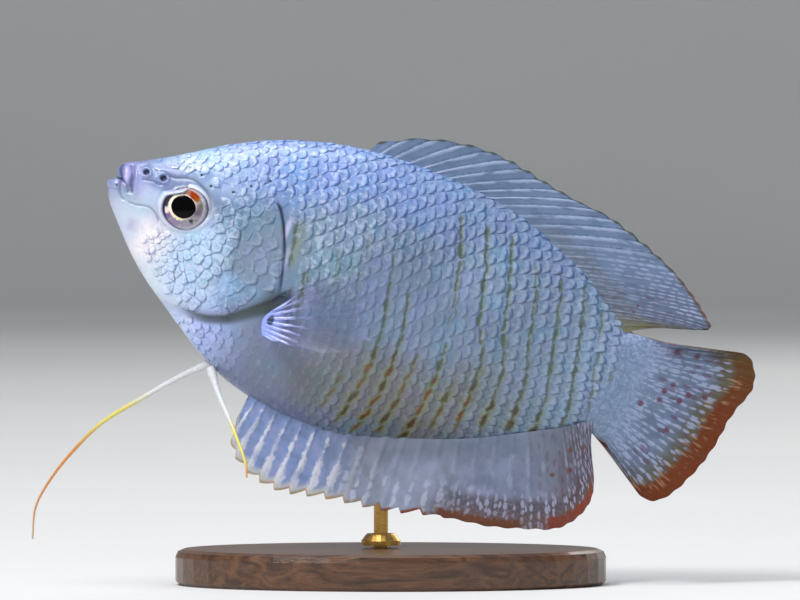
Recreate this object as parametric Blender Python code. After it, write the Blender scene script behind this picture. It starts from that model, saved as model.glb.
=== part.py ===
"""A dwarf gourami at life size: a still display model, held by a rod on a small oval base.

The fish is drawn level, head towards -X, left flank towards -Y, with u along the body from the
snout, w up, and y across, all in millimetres.  Its parts hang from one empty, which pitches the
nose up and lifts the fish over the base.  MM turns millimetres into metres.
"""
import math
from bisect import bisect_right

import bmesh
import bpy

MM = 0.001
GAP = 0.3  # between neighbouring solids

# How the fish hangs over the floor
NOSE_UP = math.radians(21.9)
NOSE_X = -31.28
NOSE_Z = 45.3

# The body's outline: distance from the snout, then height over the body's axis
BACK = ((0.0, 0.2), (0.8, 2.1), (2.9, 3.3), (6.2, 5.35), (11.9, 9.2), (17.0, 11.6), (25.0, 13.75),
        (33.9, 14.3), (43.9, 13.3), (53.6, 9.9), (60.3, 6.0), (64.0, 5.0))
BELLY = ((0.0, 0.0), (0.6, -2.0), (2.8, -4.45), (7.6, -8.95), (12.2, -12.0), (18.5, -15.6),
         (23.7, -17.1), (29.9, -17.6), (35.7, -17.05), (46.3, -13.6), (56.2, -8.4), (60.3, -5.8),
         (64.0, -5.0))
# Half the body's width, and how far up the section its widest point lies
HALF_WIDTH = ((0.0, 0.0), (0.8, 1.4), (2.9, 2.3), (6.2, 3.1), (9.2, 3.65), (14.0, 4.6), (20.0, 5.2),
              (26.0, 5.25), (33.0, 4.85), (43.0, 3.7), (53.0, 2.2), (60.3, 1.25), (64.0, 1.0))
WIDEST = ((0.0, 0.5), (9.2, 0.6), (20.0, 0.52), (30.0, 0.48), (45.0, 0.5), (64.0, 0.5))
# How sharp the section is at the back and at the belly: 1 is an ellipse, more is a keel
BACK_EDGE = ((0.0, 0.9), (9.0, 0.8), (20.0, 0.95), (64.0, 1.05))
BELLY_EDGE = ((0.0, 0.9), (9.0, 1.15), (20.0, 1.0), (28.0, 0.9), (42.0, 1.1), (64.0, 1.0))
BODY_END = 60.3
STATIONS = 32
RING_POINTS = 26
CLEAR = 9.0  # across, past the body's side
ABOVE, BELOW = 20.0, -20.0  # past its back and belly

# Cuts across the body, as u and w of points along them
HEAD_END = ((16.4, 20.0), (16.9, 11.0), (17.9, 7.0), (19.0, 4.8), (20.4, 2.8), (21.5, 0.6),
            (22.1, -1.6), (22.9, -4.2), (22.6, -6.4), (21.3, -8.3), (19.5, -9.8), (17.4, -10.7),
            (15.2, -11.1), (13.5, -11.8), (12.6, -20.0))
TAIL_START = ((52.4, 16.0), (51.7, 8.0), (51.4, 0.0), (51.8, -7.0), (52.6, -16.0))
UPPER_LIP = ((-2.0, 0.5), (0.4, 0.45), (1.4, -0.3), (2.6, -0.9), (2.65, 0.5), (2.6, 2.0), (2.7, 6.0),
             (-2.0, 6.0))
LOWER_JAW = ((-2.0, 0.2), (0.3, 0.12), (1.3, -0.65), (2.8, -1.35), (4.4, -2.0), (4.2, -3.6),
             (3.3, -6.5), (-2.0, -6.5))
MUZZLE = ((-3.0, 7.0), (3.0, 7.0), (2.9, 2.0), (2.95, 0.5), (2.95, -1.05), (4.75, -1.8),
          (4.5, -3.7), (3.6, -7.0), (-3.0, -7.0))
GILL_COVER = ((14.2, 2.6), (16.4, 4.2), (18.3, 4.4), (19.6, 2.9), (20.8, 0.7), (21.4, -1.6),
              (22.3, -4.1), (22.0, -6.3), (20.7, -8.0), (18.9, -9.5), (16.7, -10.3),
              (14.2, -10.4), (12.3, -9.3), (12.0, -6.4), (12.9, -3.0), (13.5, 0.0))
GILL_COVER_PROUD = 0.15
GILL_COVER_DEPTH = 0.65
GILL_COVER_INNER_EDGE = 1.5  # nothing of the cover lies nearer the middle
CUT_STEPS = 22
COVER_STEPS = 26

# Eyes: centre, and the ball's radii across its face, outwards and inwards
EYE_U, EYE_W, EYE_Y = 9.1, 0.05, 2.55
EYE_RADIUS, EYE_OUT, EYE_IN = 2.65, 1.95, 1.6
EYE_STEPS, EYE_POINTS = 7, 18
EYE_FLAT = 0.06  # share of the half turn left flat at each pole

# Fin rays, front to back: where each starts along the body (or up the tail), then its tip
DORSAL_RAYS = ((25.4, 26.4, 15.0), (28.3, 30.8, 17.2), (31.7, 35.6, 18.4), (34.5, 39.6, 18.6),
               (37.3, 42.8, 18.2), (40.4, 46.1, 17.6), (43.0, 49.5, 17.1), (46.3, 53.2, 16.8),
               (49.0, 56.4, 16.0), (51.5, 59.6, 14.9), (53.7, 62.6, 13.6), (55.6, 65.2, 12.1),
               (57.0, 67.0, 10.8), (58.0, 68.4, 9.4), (58.9, 66.3, 8.4), (59.6, 63.2, 7.4))
ANAL_RAYS = ((23.4, 23.1, -19.6), (24.8, 23.6, -22.8), (26.5, 25.8, -24.5), (28.6, 28.2, -25.3),
             (30.8, 30.8, -25.4), (33.2, 33.4, -24.8), (36.0, 36.4, -24.1), (39.0, 39.5, -23.6),
             (42.0, 42.6, -23.0), (45.0, 46.2, -21.9), (48.0, 49.9, -21.0), (51.0, 53.7, -20.3),
             (53.6, 57.4, -19.1), (55.8, 60.6, -17.8), (57.4, 62.4, -15.8), (58.5, 63.1, -13.4),
             (59.3, 62.5, -10.9), (60.0, 60.9, -8.2))
CAUDAL_RAYS = ((5.6, 64.6, 6.1), (5.2, 68.3, 6.9), (4.7, 72.6, 8.2), (4.1, 74.1, 7.6),
               (3.3, 75.0, 6.0), (2.4, 75.1, 4.4), (1.4, 74.5, 2.6), (0.4, 74.0, 0.6),
               (-0.7, 73.8, -1.4), (-1.7, 73.4, -3.6), (-2.7, 72.9, -5.4), (-3.6, 72.1, -7.4),
               (-4.4, 71.2, -9.2), (-5.0, 69.8, -10.7), (-5.4, 68.0, -10.8), (-5.7, 66.0, -9.4),
               (-5.8, 63.8, -8.0), (-5.9, 62.4, -6.9))
DORSAL_COUNT = 25
ANAL_COUNT = 31
CAUDAL_COUNT = 19
CAUDAL_ROOT = 60.7
FIN_ROWS = 4
CAUDAL_ROWS = 5
FIN_ROOT_THICKNESS = 1.0
FIN_EDGE_THICKNESS = 0.52
RAY_RIDGE = 0.16  # added to the half thickness on a ray
SPINE_SHARE = 0.6  # of the fin's rays, from the front, that are spines with notches between
DORSAL_NOTCH, ANAL_NOTCH, SOFT_NOTCH = 0.45, 0.55, 0.15
DORSAL_SWEEP, ANAL_SWEEP, CAUDAL_SWEEP = 0.9, -0.8, -1.6  # sideways, at the rear edge

# Pectoral fins: the root on the flank, the fan's outline from it, and how far it stands off
PECTORAL_U, PECTORAL_W = 22.4, -8.3
PECTORAL_RAYS = ((0.5, 1.3, 2.6), (0.42, 3.2, 5.6), (0.3, 6.2, 7.2), (0.15, 9.2, 7.0),
                 (0.0, 11.4, 5.2), (-0.15, 12.2, 2.8), (-0.3, 11.2, 0.8), (-0.5, 7.6, -0.7),
                 (-0.7, 4.0, -1.3), (-0.85, 1.4, -1.6))
PECTORAL_COUNT = 10
PECTORAL_SPREAD = math.radians(20.0)
PECTORAL_THICKNESS = 0.55
PECTORAL_ROWS = 3
PECTORAL_NOTCH = 0.12
PECTORAL_CURL = 0.6  # outwards, at the tips
PECTORAL_OFF = 0.5  # half thickness of the fleshy root

# Feelers, the threadlike pelvic fins: u, y and w of points along each
FEELER_LEFT = ((18.8, -1.1, -16.05), (20.2, -2.8, -17.7), (22.4, -5.6, -19.8), (24.9, -9.4, -22.3),
               (26.1, -12.4, -23.7), (26.6, -14.6, -24.7))
FEELER_RIGHT = ((17.6, 1.1, -15.45), (15.4, 2.2, -17.8), (12.3, 3.9, -21.7), (9.2, 5.6, -25.9),
                (7.4, 6.9, -30.0), (6.2, 7.9, -34.0), (5.8, 8.6, -37.6), (6.8, 9.0, -41.1))
FEELER_ROOT_RADIUS = 0.48
FEELER_TIP_RADIUS = 0.27
FEELER_POINTS = 16
FEELER_TAPER = 0.8

# The stand
BASE_LENGTH, BASE_DEPTH, BASE_HEIGHT = 48.0, 34.0, 4.0
BASE_EDGE = 0.9
ROD_X, ROD_Y, ROD_RADIUS = -1.1, 2.2, 0.8
ROD_BOTTOM, ROD_TOP = 1.5, 25.0
ROD_CHAMFER = 0.25
COLLAR_RADIUS, COLLAR_HEIGHT, COLLAR_SHOULDER = 2.2, 1.3, 0.5
BASE_POINTS, COLLAR_POINTS, ROD_POINTS = 44, 24, 16


def spline(knots, values):
    """A smooth function through values at rising knots."""
    last = len(knots) - 1
    slopes = []
    for i in range(last + 1):
        before, after = max(i - 1, 0), min(i + 1, last)
        slopes.append((values[after] - values[before]) / (knots[after] - knots[before]))

    def value(x):
        i = min(max(bisect_right(knots, x) - 1, 0), last - 1)
        span = knots[i + 1] - knots[i]
        t = (x - knots[i]) / span
        start = (1 + 2 * t) * values[i] + t * span * slopes[i]
        end = (3 - 2 * t) * values[i + 1] + (t - 1) * span * slopes[i + 1]
        return (1 - t) ** 2 * start + t * t * end

    return value


def along_body(table):
    """A smooth function of u. Knots are square roots of u, which makes the snout blunt."""
    value = spline([math.sqrt(u) for u, _ in table], [v for _, v in table])
    return lambda u: value(math.sqrt(max(u, 0.0)))


def path(points):
    """A smooth path through points, as a function that runs from 0 to 1 along it."""
    knots = [0.0]
    for here, there in zip(points, points[1:]):
        knots.append(knots[-1] + math.dist(here, there))
    parts = [spline([k / knots[-1] for k in knots], values) for values in zip(*points)]
    return lambda t: tuple(part(t) for part in parts)


def ray_fan(table):
    """Smooth functions of 0 to 1 for the ray's start and its tip, through a fin's ray table."""
    knots = [i / (len(table) - 1) for i in range(len(table))]
    return [spline(knots, values) for values in zip(*table)]


back = along_body(BACK)
belly = along_body(BELLY)
half_width = along_body(HALF_WIDTH)
widest = along_body(WIDEST)
back_edge = along_body(BACK_EDGE)
belly_edge = along_body(BELLY_EDGE)


def section(u, w=None, grow=0.0, upper=True):
    """Of the section at u: its middle's height, its reach up or down from there and its edge."""
    top, bottom = back(u) + grow, belly(u) - grow
    middle = bottom + widest(u) * (top - bottom)
    if upper if w is None else w > middle:
        return middle, top - middle, back_edge(u)
    return middle, middle - bottom, belly_edge(u)


def skin_point(u, angle, grow=0.0):
    """A point of the body's surface: angle 0 is the back, pi/2 the left flank, pi the belly."""
    middle, reach, edge = section(u, grow=grow, upper=math.cos(angle) > 0)
    side = math.sin(angle)
    across = (half_width(u) + grow) * math.copysign(abs(side) ** edge, side)
    return u, -across, middle + reach * math.cos(angle)


def flank(u, w):
    """Half the body's thickness at u and w."""
    middle, reach, edge = section(u, w)
    lean = min(abs(w - middle) / reach, 1.0)
    return half_width(u) * math.sqrt(1.0 - lean * lean) ** edge


def material(name, colour, roughness, metallic=0.0):
    """A plain Principled material."""
    made = bpy.data.materials.new(name)
    made.use_nodes = True
    shader = made.node_tree.nodes["Principled BSDF"]
    shader.inputs["Base Color"].default_value = (*colour, 1.0)
    shader.inputs["Roughness"].default_value = roughness
    shader.inputs["Metallic"].default_value = metallic
    return made


def add_mesh(name, vertices, faces, look=None, parent=None):
    """An object from vertices in millimetres and faces, its normals turned outwards."""
    mesh = bpy.data.meshes.new(name)
    shape = bmesh.new()
    corners = [shape.verts.new([c * MM for c in vertex]) for vertex in vertices]
    for face in faces:
        shape.faces.new([corners[i] for i in face])
    bmesh.ops.recalc_face_normals(shape, faces=shape.faces)
    shape.to_mesh(mesh)
    shape.free()
    mesh.shade_smooth()
    mesh.set_sharp_from_angle(angle=math.radians(40.0))
    made = bpy.data.objects.new(name, mesh)
    bpy.context.scene.collection.objects.link(made)
    made.parent = parent
    if look:
        mesh.materials.append(look)
    return made


def loft(name, rings, look=None, parent=None):
    """A closed solid through rings of equally many points, with flat ends."""
    count = len(rings[0])
    vertices = [point for ring in rings for point in ring]
    faces = [list(range(count)), list(range(len(vertices) - count, len(vertices)))]
    for row in range(len(rings) - 1):
        for i in range(count):
            here, there = row * count + i, row * count + (i + 1) % count
            faces.append((here, there, there + count, here + count))
    return add_mesh(name, vertices, faces, look, parent)


def body_length(name, start, end, look=None, parent=None, grow=0.0):
    """The length of the body between two u values, or a thinner or thicker copy of it."""
    stations = [BODY_END * (0.002 + 0.998 * (i / STATIONS) ** 1.5) for i in range(STATIONS + 1)]
    rings = []
    for u in stations:
        if start <= u <= end:
            angles = [math.tau * i / RING_POINTS for i in range(RING_POINTS)]
            rings.append([skin_point(u, angle, grow) for angle in angles])
    return loft(name, rings, look, parent)


def guide(made):
    """Marks an object as a cutter, which isn't part of the model."""
    made.hide_render = True
    made.display_type = "WIRE"
    return made


def carve(made, cutter, operation="DIFFERENCE"):
    """Cuts an object with another by a Boolean modifier."""
    cut = made.modifiers.new(cutter.name, "BOOLEAN")
    cut.operation = operation
    cut.object = cutter
    cut.solver = "EXACT"


def prism(name, outline, parent, inner=-CLEAR, outer=CLEAR):
    """A solid: an outline of u and w, stretched across the body between two y values."""
    count = len(outline)
    vertices = [(u, inner, w) for u, w in outline] + [(u, outer, w) for u, w in outline]
    faces = [list(range(count)), list(range(count, 2 * count))]
    faces += [(i, (i + 1) % count, count + (i + 1) % count, count + i) for i in range(count)]
    return add_mesh(name, vertices, faces, parent=parent)


def smooth_line(points, steps, shift=0.0):
    """Points along a smooth path, all moved sideways by shift (rearwards for a downward path)."""
    route = path(points)
    line = []
    for i in range(steps + 1):
        u, w = route(i / steps)
        ahead = route(min((i + 0.5) / steps, 1.0))
        behind = route(max((i - 0.5) / steps, 0.0))
        du, dw = ahead[0] - behind[0], ahead[1] - behind[1]
        length = math.hypot(du, dw)
        line.append((u - shift * dw / length, w + shift * du / length))
    return line


def smooth_outline(points, steps, grow=0.0):
    """A closed smooth outline through points given clockwise, grown outwards."""
    looped = list(points) + [points[0]]
    return smooth_line(looped, steps, grow)[:-1]


def head_and_lips(skin, lip, pose):
    """The head, cut free of the lips and the trunk, with its lips."""
    head = body_length("head", 0.0, 26.0, skin, pose)
    behind = smooth_line(HEAD_END, CUT_STEPS) + [(40.0, BELOW), (40.0, ABOVE)]
    carve(head, guide(prism("behind_head", behind, pose)))
    carve(head, guide(prism("muzzle_cut", MUZZLE, pose)))
    for name, outline in (("upper_lip", UPPER_LIP), ("lower_jaw", LOWER_JAW)):
        piece = body_length(name, 0.0, 8.0, lip, pose)
        carve(piece, guide(prism(name + "_cut", outline, pose)), "INTERSECT")
    return head


def gill_covers(head, look, pose):
    """A thin cover on each cheek, in a pocket of the head that is open at the back."""
    layers = (("cover_outside", GILL_COVER_PROUD), ("cover_inside", -GILL_COVER_DEPTH),
              ("pocket_floor", -GILL_COVER_DEPTH - GAP))
    outside, inside, floor = [guide(body_length(name, 8.0, 27.0, parent=pose, grow=grow))
                              for name, grow in layers]
    for side, name in ((-1, "left"), (1, "right")):
        outline = smooth_outline(GILL_COVER, COVER_STEPS)
        cover = prism("gill_cover_" + name, outline, pose, side * GILL_COVER_INNER_EDGE, side * CLEAR)
        cover.data.materials.append(look)
        carve(cover, outside, "INTERSECT")
        carve(cover, inside)
        grown = smooth_outline(GILL_COVER, COVER_STEPS, GAP)
        pocket = guide(prism("pocket_" + name, grown, pose, side * (GILL_COVER_INNER_EDGE - GAP),
                             side * CLEAR))
        carve(pocket, floor)
        carve(head, pocket)


def eye_rings(side, extra):
    """Rings of an eyeball about the Y axis, from its inner end to its outer one."""
    rings = []
    for step in range(EYE_STEPS + 1):
        turn = math.pi * (EYE_FLAT + (1 - 2 * EYE_FLAT) * step / EYE_STEPS) - math.pi / 2
        depth = EYE_OUT if turn > 0 else EYE_IN
        radius = (EYE_RADIUS + extra) * math.cos(turn)
        y = side * (depth + extra) * math.sin(turn)
        angles = [math.tau * i / EYE_POINTS for i in range(EYE_POINTS)]
        rings.append([(radius * math.cos(angle), y, radius * math.sin(angle)) for angle in angles])
    return rings


def eyes(head, look, pose):
    """A ball in a socket on each side of the head."""
    for side, name in ((-1, "left"), (1, "right")):
        ball = loft("eye_" + name, eye_rings(side, 0.0), look, pose)
        socket = guide(loft("socket_" + name, eye_rings(side, GAP), parent=pose))
        for made in (ball, socket):
            made.location = (EYE_U * MM, side * EYE_Y * MM, EYE_W * MM)
        carve(head, socket)


def trunk_and_tail(skin, pose, rod_hole):
    """The trunk, from behind the gill covers to the tail, and the tail's stalk."""
    trunk = body_length("trunk", 9.0, 56.0, skin, pose)
    ahead = smooth_line(HEAD_END, CUT_STEPS, GAP) + [(-4.0, BELOW), (-4.0, ABOVE + 2.0)]
    carve(trunk, guide(prism("ahead_of_trunk", ahead, pose)))
    behind = smooth_line(TAIL_START, CUT_STEPS // 2) + [(80.0, BELOW), (80.0, ABOVE)]
    carve(trunk, guide(prism("behind_trunk", behind, pose)))
    carve(trunk, rod_hole)
    stalk = body_length("tail_stalk", 47.0, BODY_END, skin, pose)
    ahead = smooth_line(TAIL_START, CUT_STEPS // 2, GAP) + [(30.0, BELOW), (30.0, ABOVE)]
    carve(stalk, guide(prism("ahead_of_stalk", ahead, pose)))


def fin_solid(name, root, tip, count, rows, shape, look, parent):
    """A fin: thin ridges of rays with membrane between, over a grid from root to tip.

    root and tip give u and w for 0 to 1 along the fin, and shape gives the half thickness, the
    notch in the edge between rays and the sideways sweep there.
    """
    columns = 2 * count - 1
    sides = {-1: [], 1: []}
    for side, points in sides.items():
        for column in range(columns):
            along = column / (columns - 1)
            on_ray = column % 2 == 0
            start, end = root(along), tip(along)
            for row in range(rows + 1):
                out = row / rows
                half, notch, sweep = shape(along, out, on_ray)
                reach = out * (1.0 - notch / math.dist(start, end))
                u = start[0] + (end[0] - start[0]) * reach
                w = start[1] + (end[1] - start[1]) * reach
                points.append((u, sweep + side * half, w))
    vertices = sides[-1] + sides[1]
    other = len(sides[-1])
    step = rows + 1
    faces = []
    for column in range(columns - 1):
        for row in range(rows):
            corner = column * step + row
            quad = (corner, corner + 1, corner + step + 1, corner + step)
            faces += [quad, [other + i for i in reversed(quad)]]
    rim = [i * step for i in range(columns)]
    rim += [(columns - 1) * step + row for row in range(1, rows + 1)]
    rim += [i * step + rows for i in range(columns - 2, -1, -1)]
    rim += list(range(rows - 1, 0, -1))
    for here, there in zip(rim, rim[1:] + rim[:1]):
        faces.append((here, there, other + there, other + here))
    return add_mesh(name, vertices, faces, look, parent)


def fin_shape(notch, sweep_at):
    """The half thickness, edge notch and sweep of a fin that thins from root to edge."""
    def shape(along, out, on_ray):
        thickness = FIN_ROOT_THICKNESS + (FIN_EDGE_THICKNESS - FIN_ROOT_THICKNESS) * math.sqrt(out)
        if on_ray:
            ridge = RAY_RIDGE * (1.0 - 0.6 * out) * min(1.0, 4 * out)
            return thickness / 2 + ridge, 0.0, sweep_at(along, out)
        depth = notch if along < SPINE_SHARE else SOFT_NOTCH
        return thickness / 2, depth * out, sweep_at(along, out)
    return shape


def median_fins(look, pose):
    """The dorsal, anal and tail fins."""
    start, tip_u, tip_w = ray_fan(DORSAL_RAYS)
    shape = fin_shape(DORSAL_NOTCH, lambda t, out: DORSAL_SWEEP * t * t * out)
    fin_solid("dorsal_fin", lambda t: (start(t), back(start(t)) + GAP),
              lambda t: (tip_u(t), tip_w(t)), DORSAL_COUNT, FIN_ROWS, shape, look, pose)
    anal_start, anal_u, anal_w = ray_fan(ANAL_RAYS)
    shape = fin_shape(ANAL_NOTCH, lambda t, out: ANAL_SWEEP * t * t * out)
    fin_solid("anal_fin", lambda t: (anal_start(t), belly(anal_start(t)) - GAP),
              lambda t: (anal_u(t), anal_w(t)), ANAL_COUNT, FIN_ROWS, shape, look, pose)
    height, caudal_u, caudal_w = ray_fan(CAUDAL_RAYS)
    shape = fin_shape(SOFT_NOTCH, lambda t, out: CAUDAL_SWEEP * out * out)
    fin_solid("caudal_fin", lambda t: (CAUDAL_ROOT, height(t)),
              lambda t: (caudal_u(t), caudal_w(t)), CAUDAL_COUNT, CAUDAL_ROWS, shape, look, pose)


def pectoral_shape(side):
    """The same for a pectoral fin, which has a fleshy root and curls outwards."""
    def shape(_along, out, on_ray):
        inwards = 1.0 - out
        half = PECTORAL_THICKNESS / 2 + (0.08 * inwards if on_ray else 0.0) + 0.15 * inwards ** 4
        return half, 0.0 if on_ray else PECTORAL_NOTCH * out, side * PECTORAL_CURL * out * out
    return shape


def pectoral_fins(look, pose):
    """A fan on each flank, standing off the body towards its tips."""
    root_w, fan_u, fan_w = ray_fan(PECTORAL_RAYS)
    off_middle = flank(PECTORAL_U, PECTORAL_W) + GAP + PECTORAL_OFF
    for side, name in ((-1, "left"), (1, "right")):
        made = fin_solid("pectoral_fin_" + name, lambda t: (0.0, root_w(t)),
                         lambda t: (fan_u(t), fan_w(t)), PECTORAL_COUNT, PECTORAL_ROWS,
                         pectoral_shape(side), look, pose)
        made.location = (PECTORAL_U * MM, side * off_middle * MM, PECTORAL_W * MM)
        made.rotation_euler = (0.0, 0.0, side * PECTORAL_SPREAD)


def feelers(look, pose):
    """The two long tapering feelers under the throat."""
    for name, points in (("left", FEELER_LEFT), ("right", FEELER_RIGHT)):
        route = path(points)
        curve = bpy.data.curves.new("feeler_" + name, "CURVE")
        curve.dimensions = "3D"
        curve.bevel_depth = FEELER_ROOT_RADIUS * MM
        curve.bevel_resolution = 2
        curve.use_fill_caps = True
        thread = curve.splines.new("POLY")
        thread.points.add(FEELER_POINTS - 1)
        for i, point in enumerate(thread.points):
            along = i / (FEELER_POINTS - 1)
            point.co = [c * MM for c in route(along)] + [1.0]
            point.radius = 1.0 + (FEELER_TIP_RADIUS / FEELER_ROOT_RADIUS - 1.0) * along ** FEELER_TAPER
        curve.materials.append(look)
        made = bpy.data.objects.new("feeler_" + name, curve)
        bpy.context.scene.collection.objects.link(made)
        made.parent = pose


def turned(name, profile, points, look=None):
    """A solid turned about a vertical axis from a profile of radius and height."""
    rings = []
    for radius, height in profile:
        angles = [math.tau * i / points for i in range(points)]
        rings.append([(radius * math.cos(a), radius * math.sin(a), height) for a in angles])
    return loft(name, rings, look)


def stand(wood, brass):
    """An oval base with a rod through a collar. Gives the hole that the rod needs in the fish."""
    radius = BASE_LENGTH / 2
    base = turned("stand_base", ((radius - BASE_EDGE / 2, 0.0), (radius, BASE_EDGE / 2),
                                 (radius, BASE_HEIGHT - BASE_EDGE),
                                 (radius - BASE_EDGE * 0.3, BASE_HEIGHT - BASE_EDGE * 0.3),
                                 (radius - BASE_EDGE, BASE_HEIGHT)), BASE_POINTS, wood)
    for vertex in base.data.vertices:
        vertex.co.y *= BASE_DEPTH / BASE_LENGTH
    rod = turned("stand_rod", ((ROD_RADIUS - ROD_CHAMFER, ROD_BOTTOM),
                               (ROD_RADIUS, ROD_BOTTOM + ROD_CHAMFER),
                               (ROD_RADIUS, ROD_TOP - ROD_CHAMFER),
                               (ROD_RADIUS - ROD_CHAMFER, ROD_TOP)), ROD_POINTS, brass)
    bottom = BASE_HEIGHT + GAP
    top = bottom + COLLAR_HEIGHT
    collar = turned("stand_collar", ((COLLAR_RADIUS, bottom), (COLLAR_RADIUS, bottom + COLLAR_SHOULDER),
                                     (COLLAR_RADIUS - 0.5, top - 0.15), (COLLAR_RADIUS - 0.65, top)),
                    COLLAR_POINTS, brass)
    bore = ROD_RADIUS + GAP
    holes = {}
    for name, low, high in (("base", ROD_BOTTOM - GAP, BASE_HEIGHT + 1.0),
                            ("collar", BASE_HEIGHT, top + 1.0), ("fish", top, ROD_TOP + GAP)):
        holes[name] = guide(turned("rod_hole_in_" + name, ((bore, low), (bore, high)), ROD_POINTS))
    for made in (rod, collar, *holes.values()):
        made.location = (ROD_X * MM, ROD_Y * MM, 0.0)
    carve(base, holes["base"])
    carve(collar, holes["collar"])
    return holes["fish"]


def build():
    """Makes the whole model."""
    for old in list(bpy.context.scene.objects):
        bpy.data.objects.remove(old, do_unlink=True)
    skin = material("scaled_skin", (0.42, 0.55, 0.78), 0.4)
    lip = material("lip_skin", (0.55, 0.6, 0.8), 0.45)
    cover = material("gill_plate", (0.55, 0.66, 0.85), 0.4)
    fin = material("fin_membrane", (0.45, 0.5, 0.68), 0.45)
    pale_fin = material("pectoral_membrane", (0.6, 0.65, 0.85), 0.4)
    feeler = material("feeler_skin", (0.9, 0.75, 0.35), 0.5)
    eye = material("eye_ball", (0.05, 0.05, 0.06), 0.1)
    wood = material("dark_walnut", (0.09, 0.045, 0.025), 0.4)
    brass = material("brass", (0.75, 0.55, 0.25), 0.3, 1.0)

    pose = bpy.data.objects.new("fish_pose", None)
    bpy.context.scene.collection.objects.link(pose)
    pose.location = (NOSE_X * MM, 0.0, NOSE_Z * MM)
    pose.rotation_euler = (0.0, NOSE_UP, 0.0)

    rod_hole = stand(wood, brass)
    head = head_and_lips(skin, lip, pose)
    gill_covers(head, cover, pose)
    eyes(head, eye, pose)
    trunk_and_tail(skin, pose, rod_hole)
    median_fins(fin, pose)
    pectoral_fins(pale_fin, pose)
    feelers(feeler, pose)
    bpy.context.view_layer.update()


build()
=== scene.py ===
"""A dwarf gourami as a museum model on a small stand: its looks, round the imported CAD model.

Lengths are in millimetres in the body's own frame: u runs from the snout to the tail, y across
to the right flank and w up to the back. to_world turns them into metres in the model's frame.
"""

import math

import bpy
import numpy as np
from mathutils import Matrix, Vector


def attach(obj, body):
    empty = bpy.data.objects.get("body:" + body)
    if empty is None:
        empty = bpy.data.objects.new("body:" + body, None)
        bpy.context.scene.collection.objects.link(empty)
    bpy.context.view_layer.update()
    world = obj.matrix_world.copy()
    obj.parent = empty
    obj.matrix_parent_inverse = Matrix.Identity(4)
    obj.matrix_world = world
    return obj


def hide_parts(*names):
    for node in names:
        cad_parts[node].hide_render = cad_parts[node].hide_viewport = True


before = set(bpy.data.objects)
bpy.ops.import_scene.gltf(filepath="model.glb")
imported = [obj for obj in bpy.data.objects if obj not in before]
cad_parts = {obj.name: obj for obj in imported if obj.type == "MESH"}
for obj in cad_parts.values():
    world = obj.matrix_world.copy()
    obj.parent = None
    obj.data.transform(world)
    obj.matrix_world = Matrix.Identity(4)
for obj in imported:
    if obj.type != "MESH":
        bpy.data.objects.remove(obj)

MM = 0.001
RANDOM = np.random.default_rng(11)
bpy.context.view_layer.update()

# ---------------------------------------------------------------- the body's shape, as in the CAD

NOSE_UP = math.radians(21.9)
NOSE_X, NOSE_Z = -31.28, 45.3

BACK = ((0.0, 0.2), (0.8, 2.1), (2.9, 3.3), (6.2, 5.35), (11.9, 9.2), (17.0, 11.6), (25.0, 13.75),
        (33.9, 14.3), (43.9, 13.3), (53.6, 9.9), (60.3, 6.0), (64.0, 5.0))
BELLY = ((0.0, 0.0), (0.6, -2.0), (2.8, -4.45), (7.6, -8.95), (12.2, -12.0), (18.5, -15.6),
         (23.7, -17.1), (29.9, -17.6), (35.7, -17.05), (46.3, -13.6), (56.2, -8.4), (60.3, -5.8),
         (64.0, -5.0))
HALF_WIDTH = ((0.0, 0.0), (0.8, 1.4), (2.9, 2.3), (6.2, 3.1), (9.2, 3.65), (14.0, 4.6),
              (20.0, 5.2), (26.0, 5.25), (33.0, 4.85), (43.0, 3.7), (53.0, 2.2), (60.3, 1.25),
              (64.0, 0.5))
WIDEST = ((0.0, 0.5), (9.2, 0.6), (20.0, 0.52), (30.0, 0.48), (45.0, 0.5), (64.0, 0.5))
BACK_EDGE = ((0.0, 0.9), (9.0, 0.8), (20.0, 0.95), (64.0, 1.05))
BELLY_EDGE = ((0.0, 0.9), (9.0, 1.15), (20.0, 1.0), (28.0, 0.9), (42.0, 1.1), (64.0, 1.0))
BODY_END = 60.3
NOSE_START = 0.03

EYE_U, EYE_W = 9.1, 0.05


def smooth(knots, values):
    """A smooth function through values at rising knots, for arrays."""
    knots, values = np.array(knots, float), np.array(values, float)
    last = len(knots) - 1
    before = np.maximum(np.arange(last + 1) - 1, 0)
    after = np.minimum(np.arange(last + 1) + 1, last)
    spans = (knots[after] - knots[before]).reshape((-1,) + (1,) * (values.ndim - 1))
    slopes = (values[after] - values[before]) / spans

    def value(x):
        x = np.asarray(x, float)
        i = np.clip(np.searchsorted(knots, x, side="right") - 1, 0, last - 1)
        shape = x.shape + (1,) * (values.ndim - 1)
        span = (knots[i + 1] - knots[i]).reshape(shape)
        t = (x - knots[i]).reshape(shape) / span
        start = (1 + 2 * t) * values[i] + t * span * slopes[i]
        end = (3 - 2 * t) * values[i + 1] + (t - 1) * span * slopes[i + 1]
        return (1 - t) ** 2 * start + t * t * end

    return value


def along_body(table):
    """A smooth function of u. Knots are square roots of u, which makes the snout blunt."""
    value = smooth([math.sqrt(u) for u, _ in table], [v for _, v in table])
    return lambda u: value(np.sqrt(np.maximum(u, 0.0)))


def path(points):
    """A smooth path through points, as a function that runs from 0 to 1 along it."""
    points = np.array(points, float)
    knots = np.concatenate(([0.0], np.cumsum(np.linalg.norm(np.diff(points, axis=0), axis=1))))
    return smooth(knots / knots[-1], points)


def ray_fan(table):
    """A smooth function of 0 to 1 for a ray's start and tip, through a fin's ray table."""
    return smooth(np.linspace(0.0, 1.0, len(table)), table)


def through(table):
    """A function of straight pieces through (place, value) points."""
    places, values = np.array(table, float).T
    return lambda x: np.interp(x, places, values)


def ease(x, low, high):
    """0 below low, 1 above high, smooth between them."""
    t = np.clip((x - low) / (high - low), 0.0, 1.0)
    return t * t * (3.0 - 2.0 * t)


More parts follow.
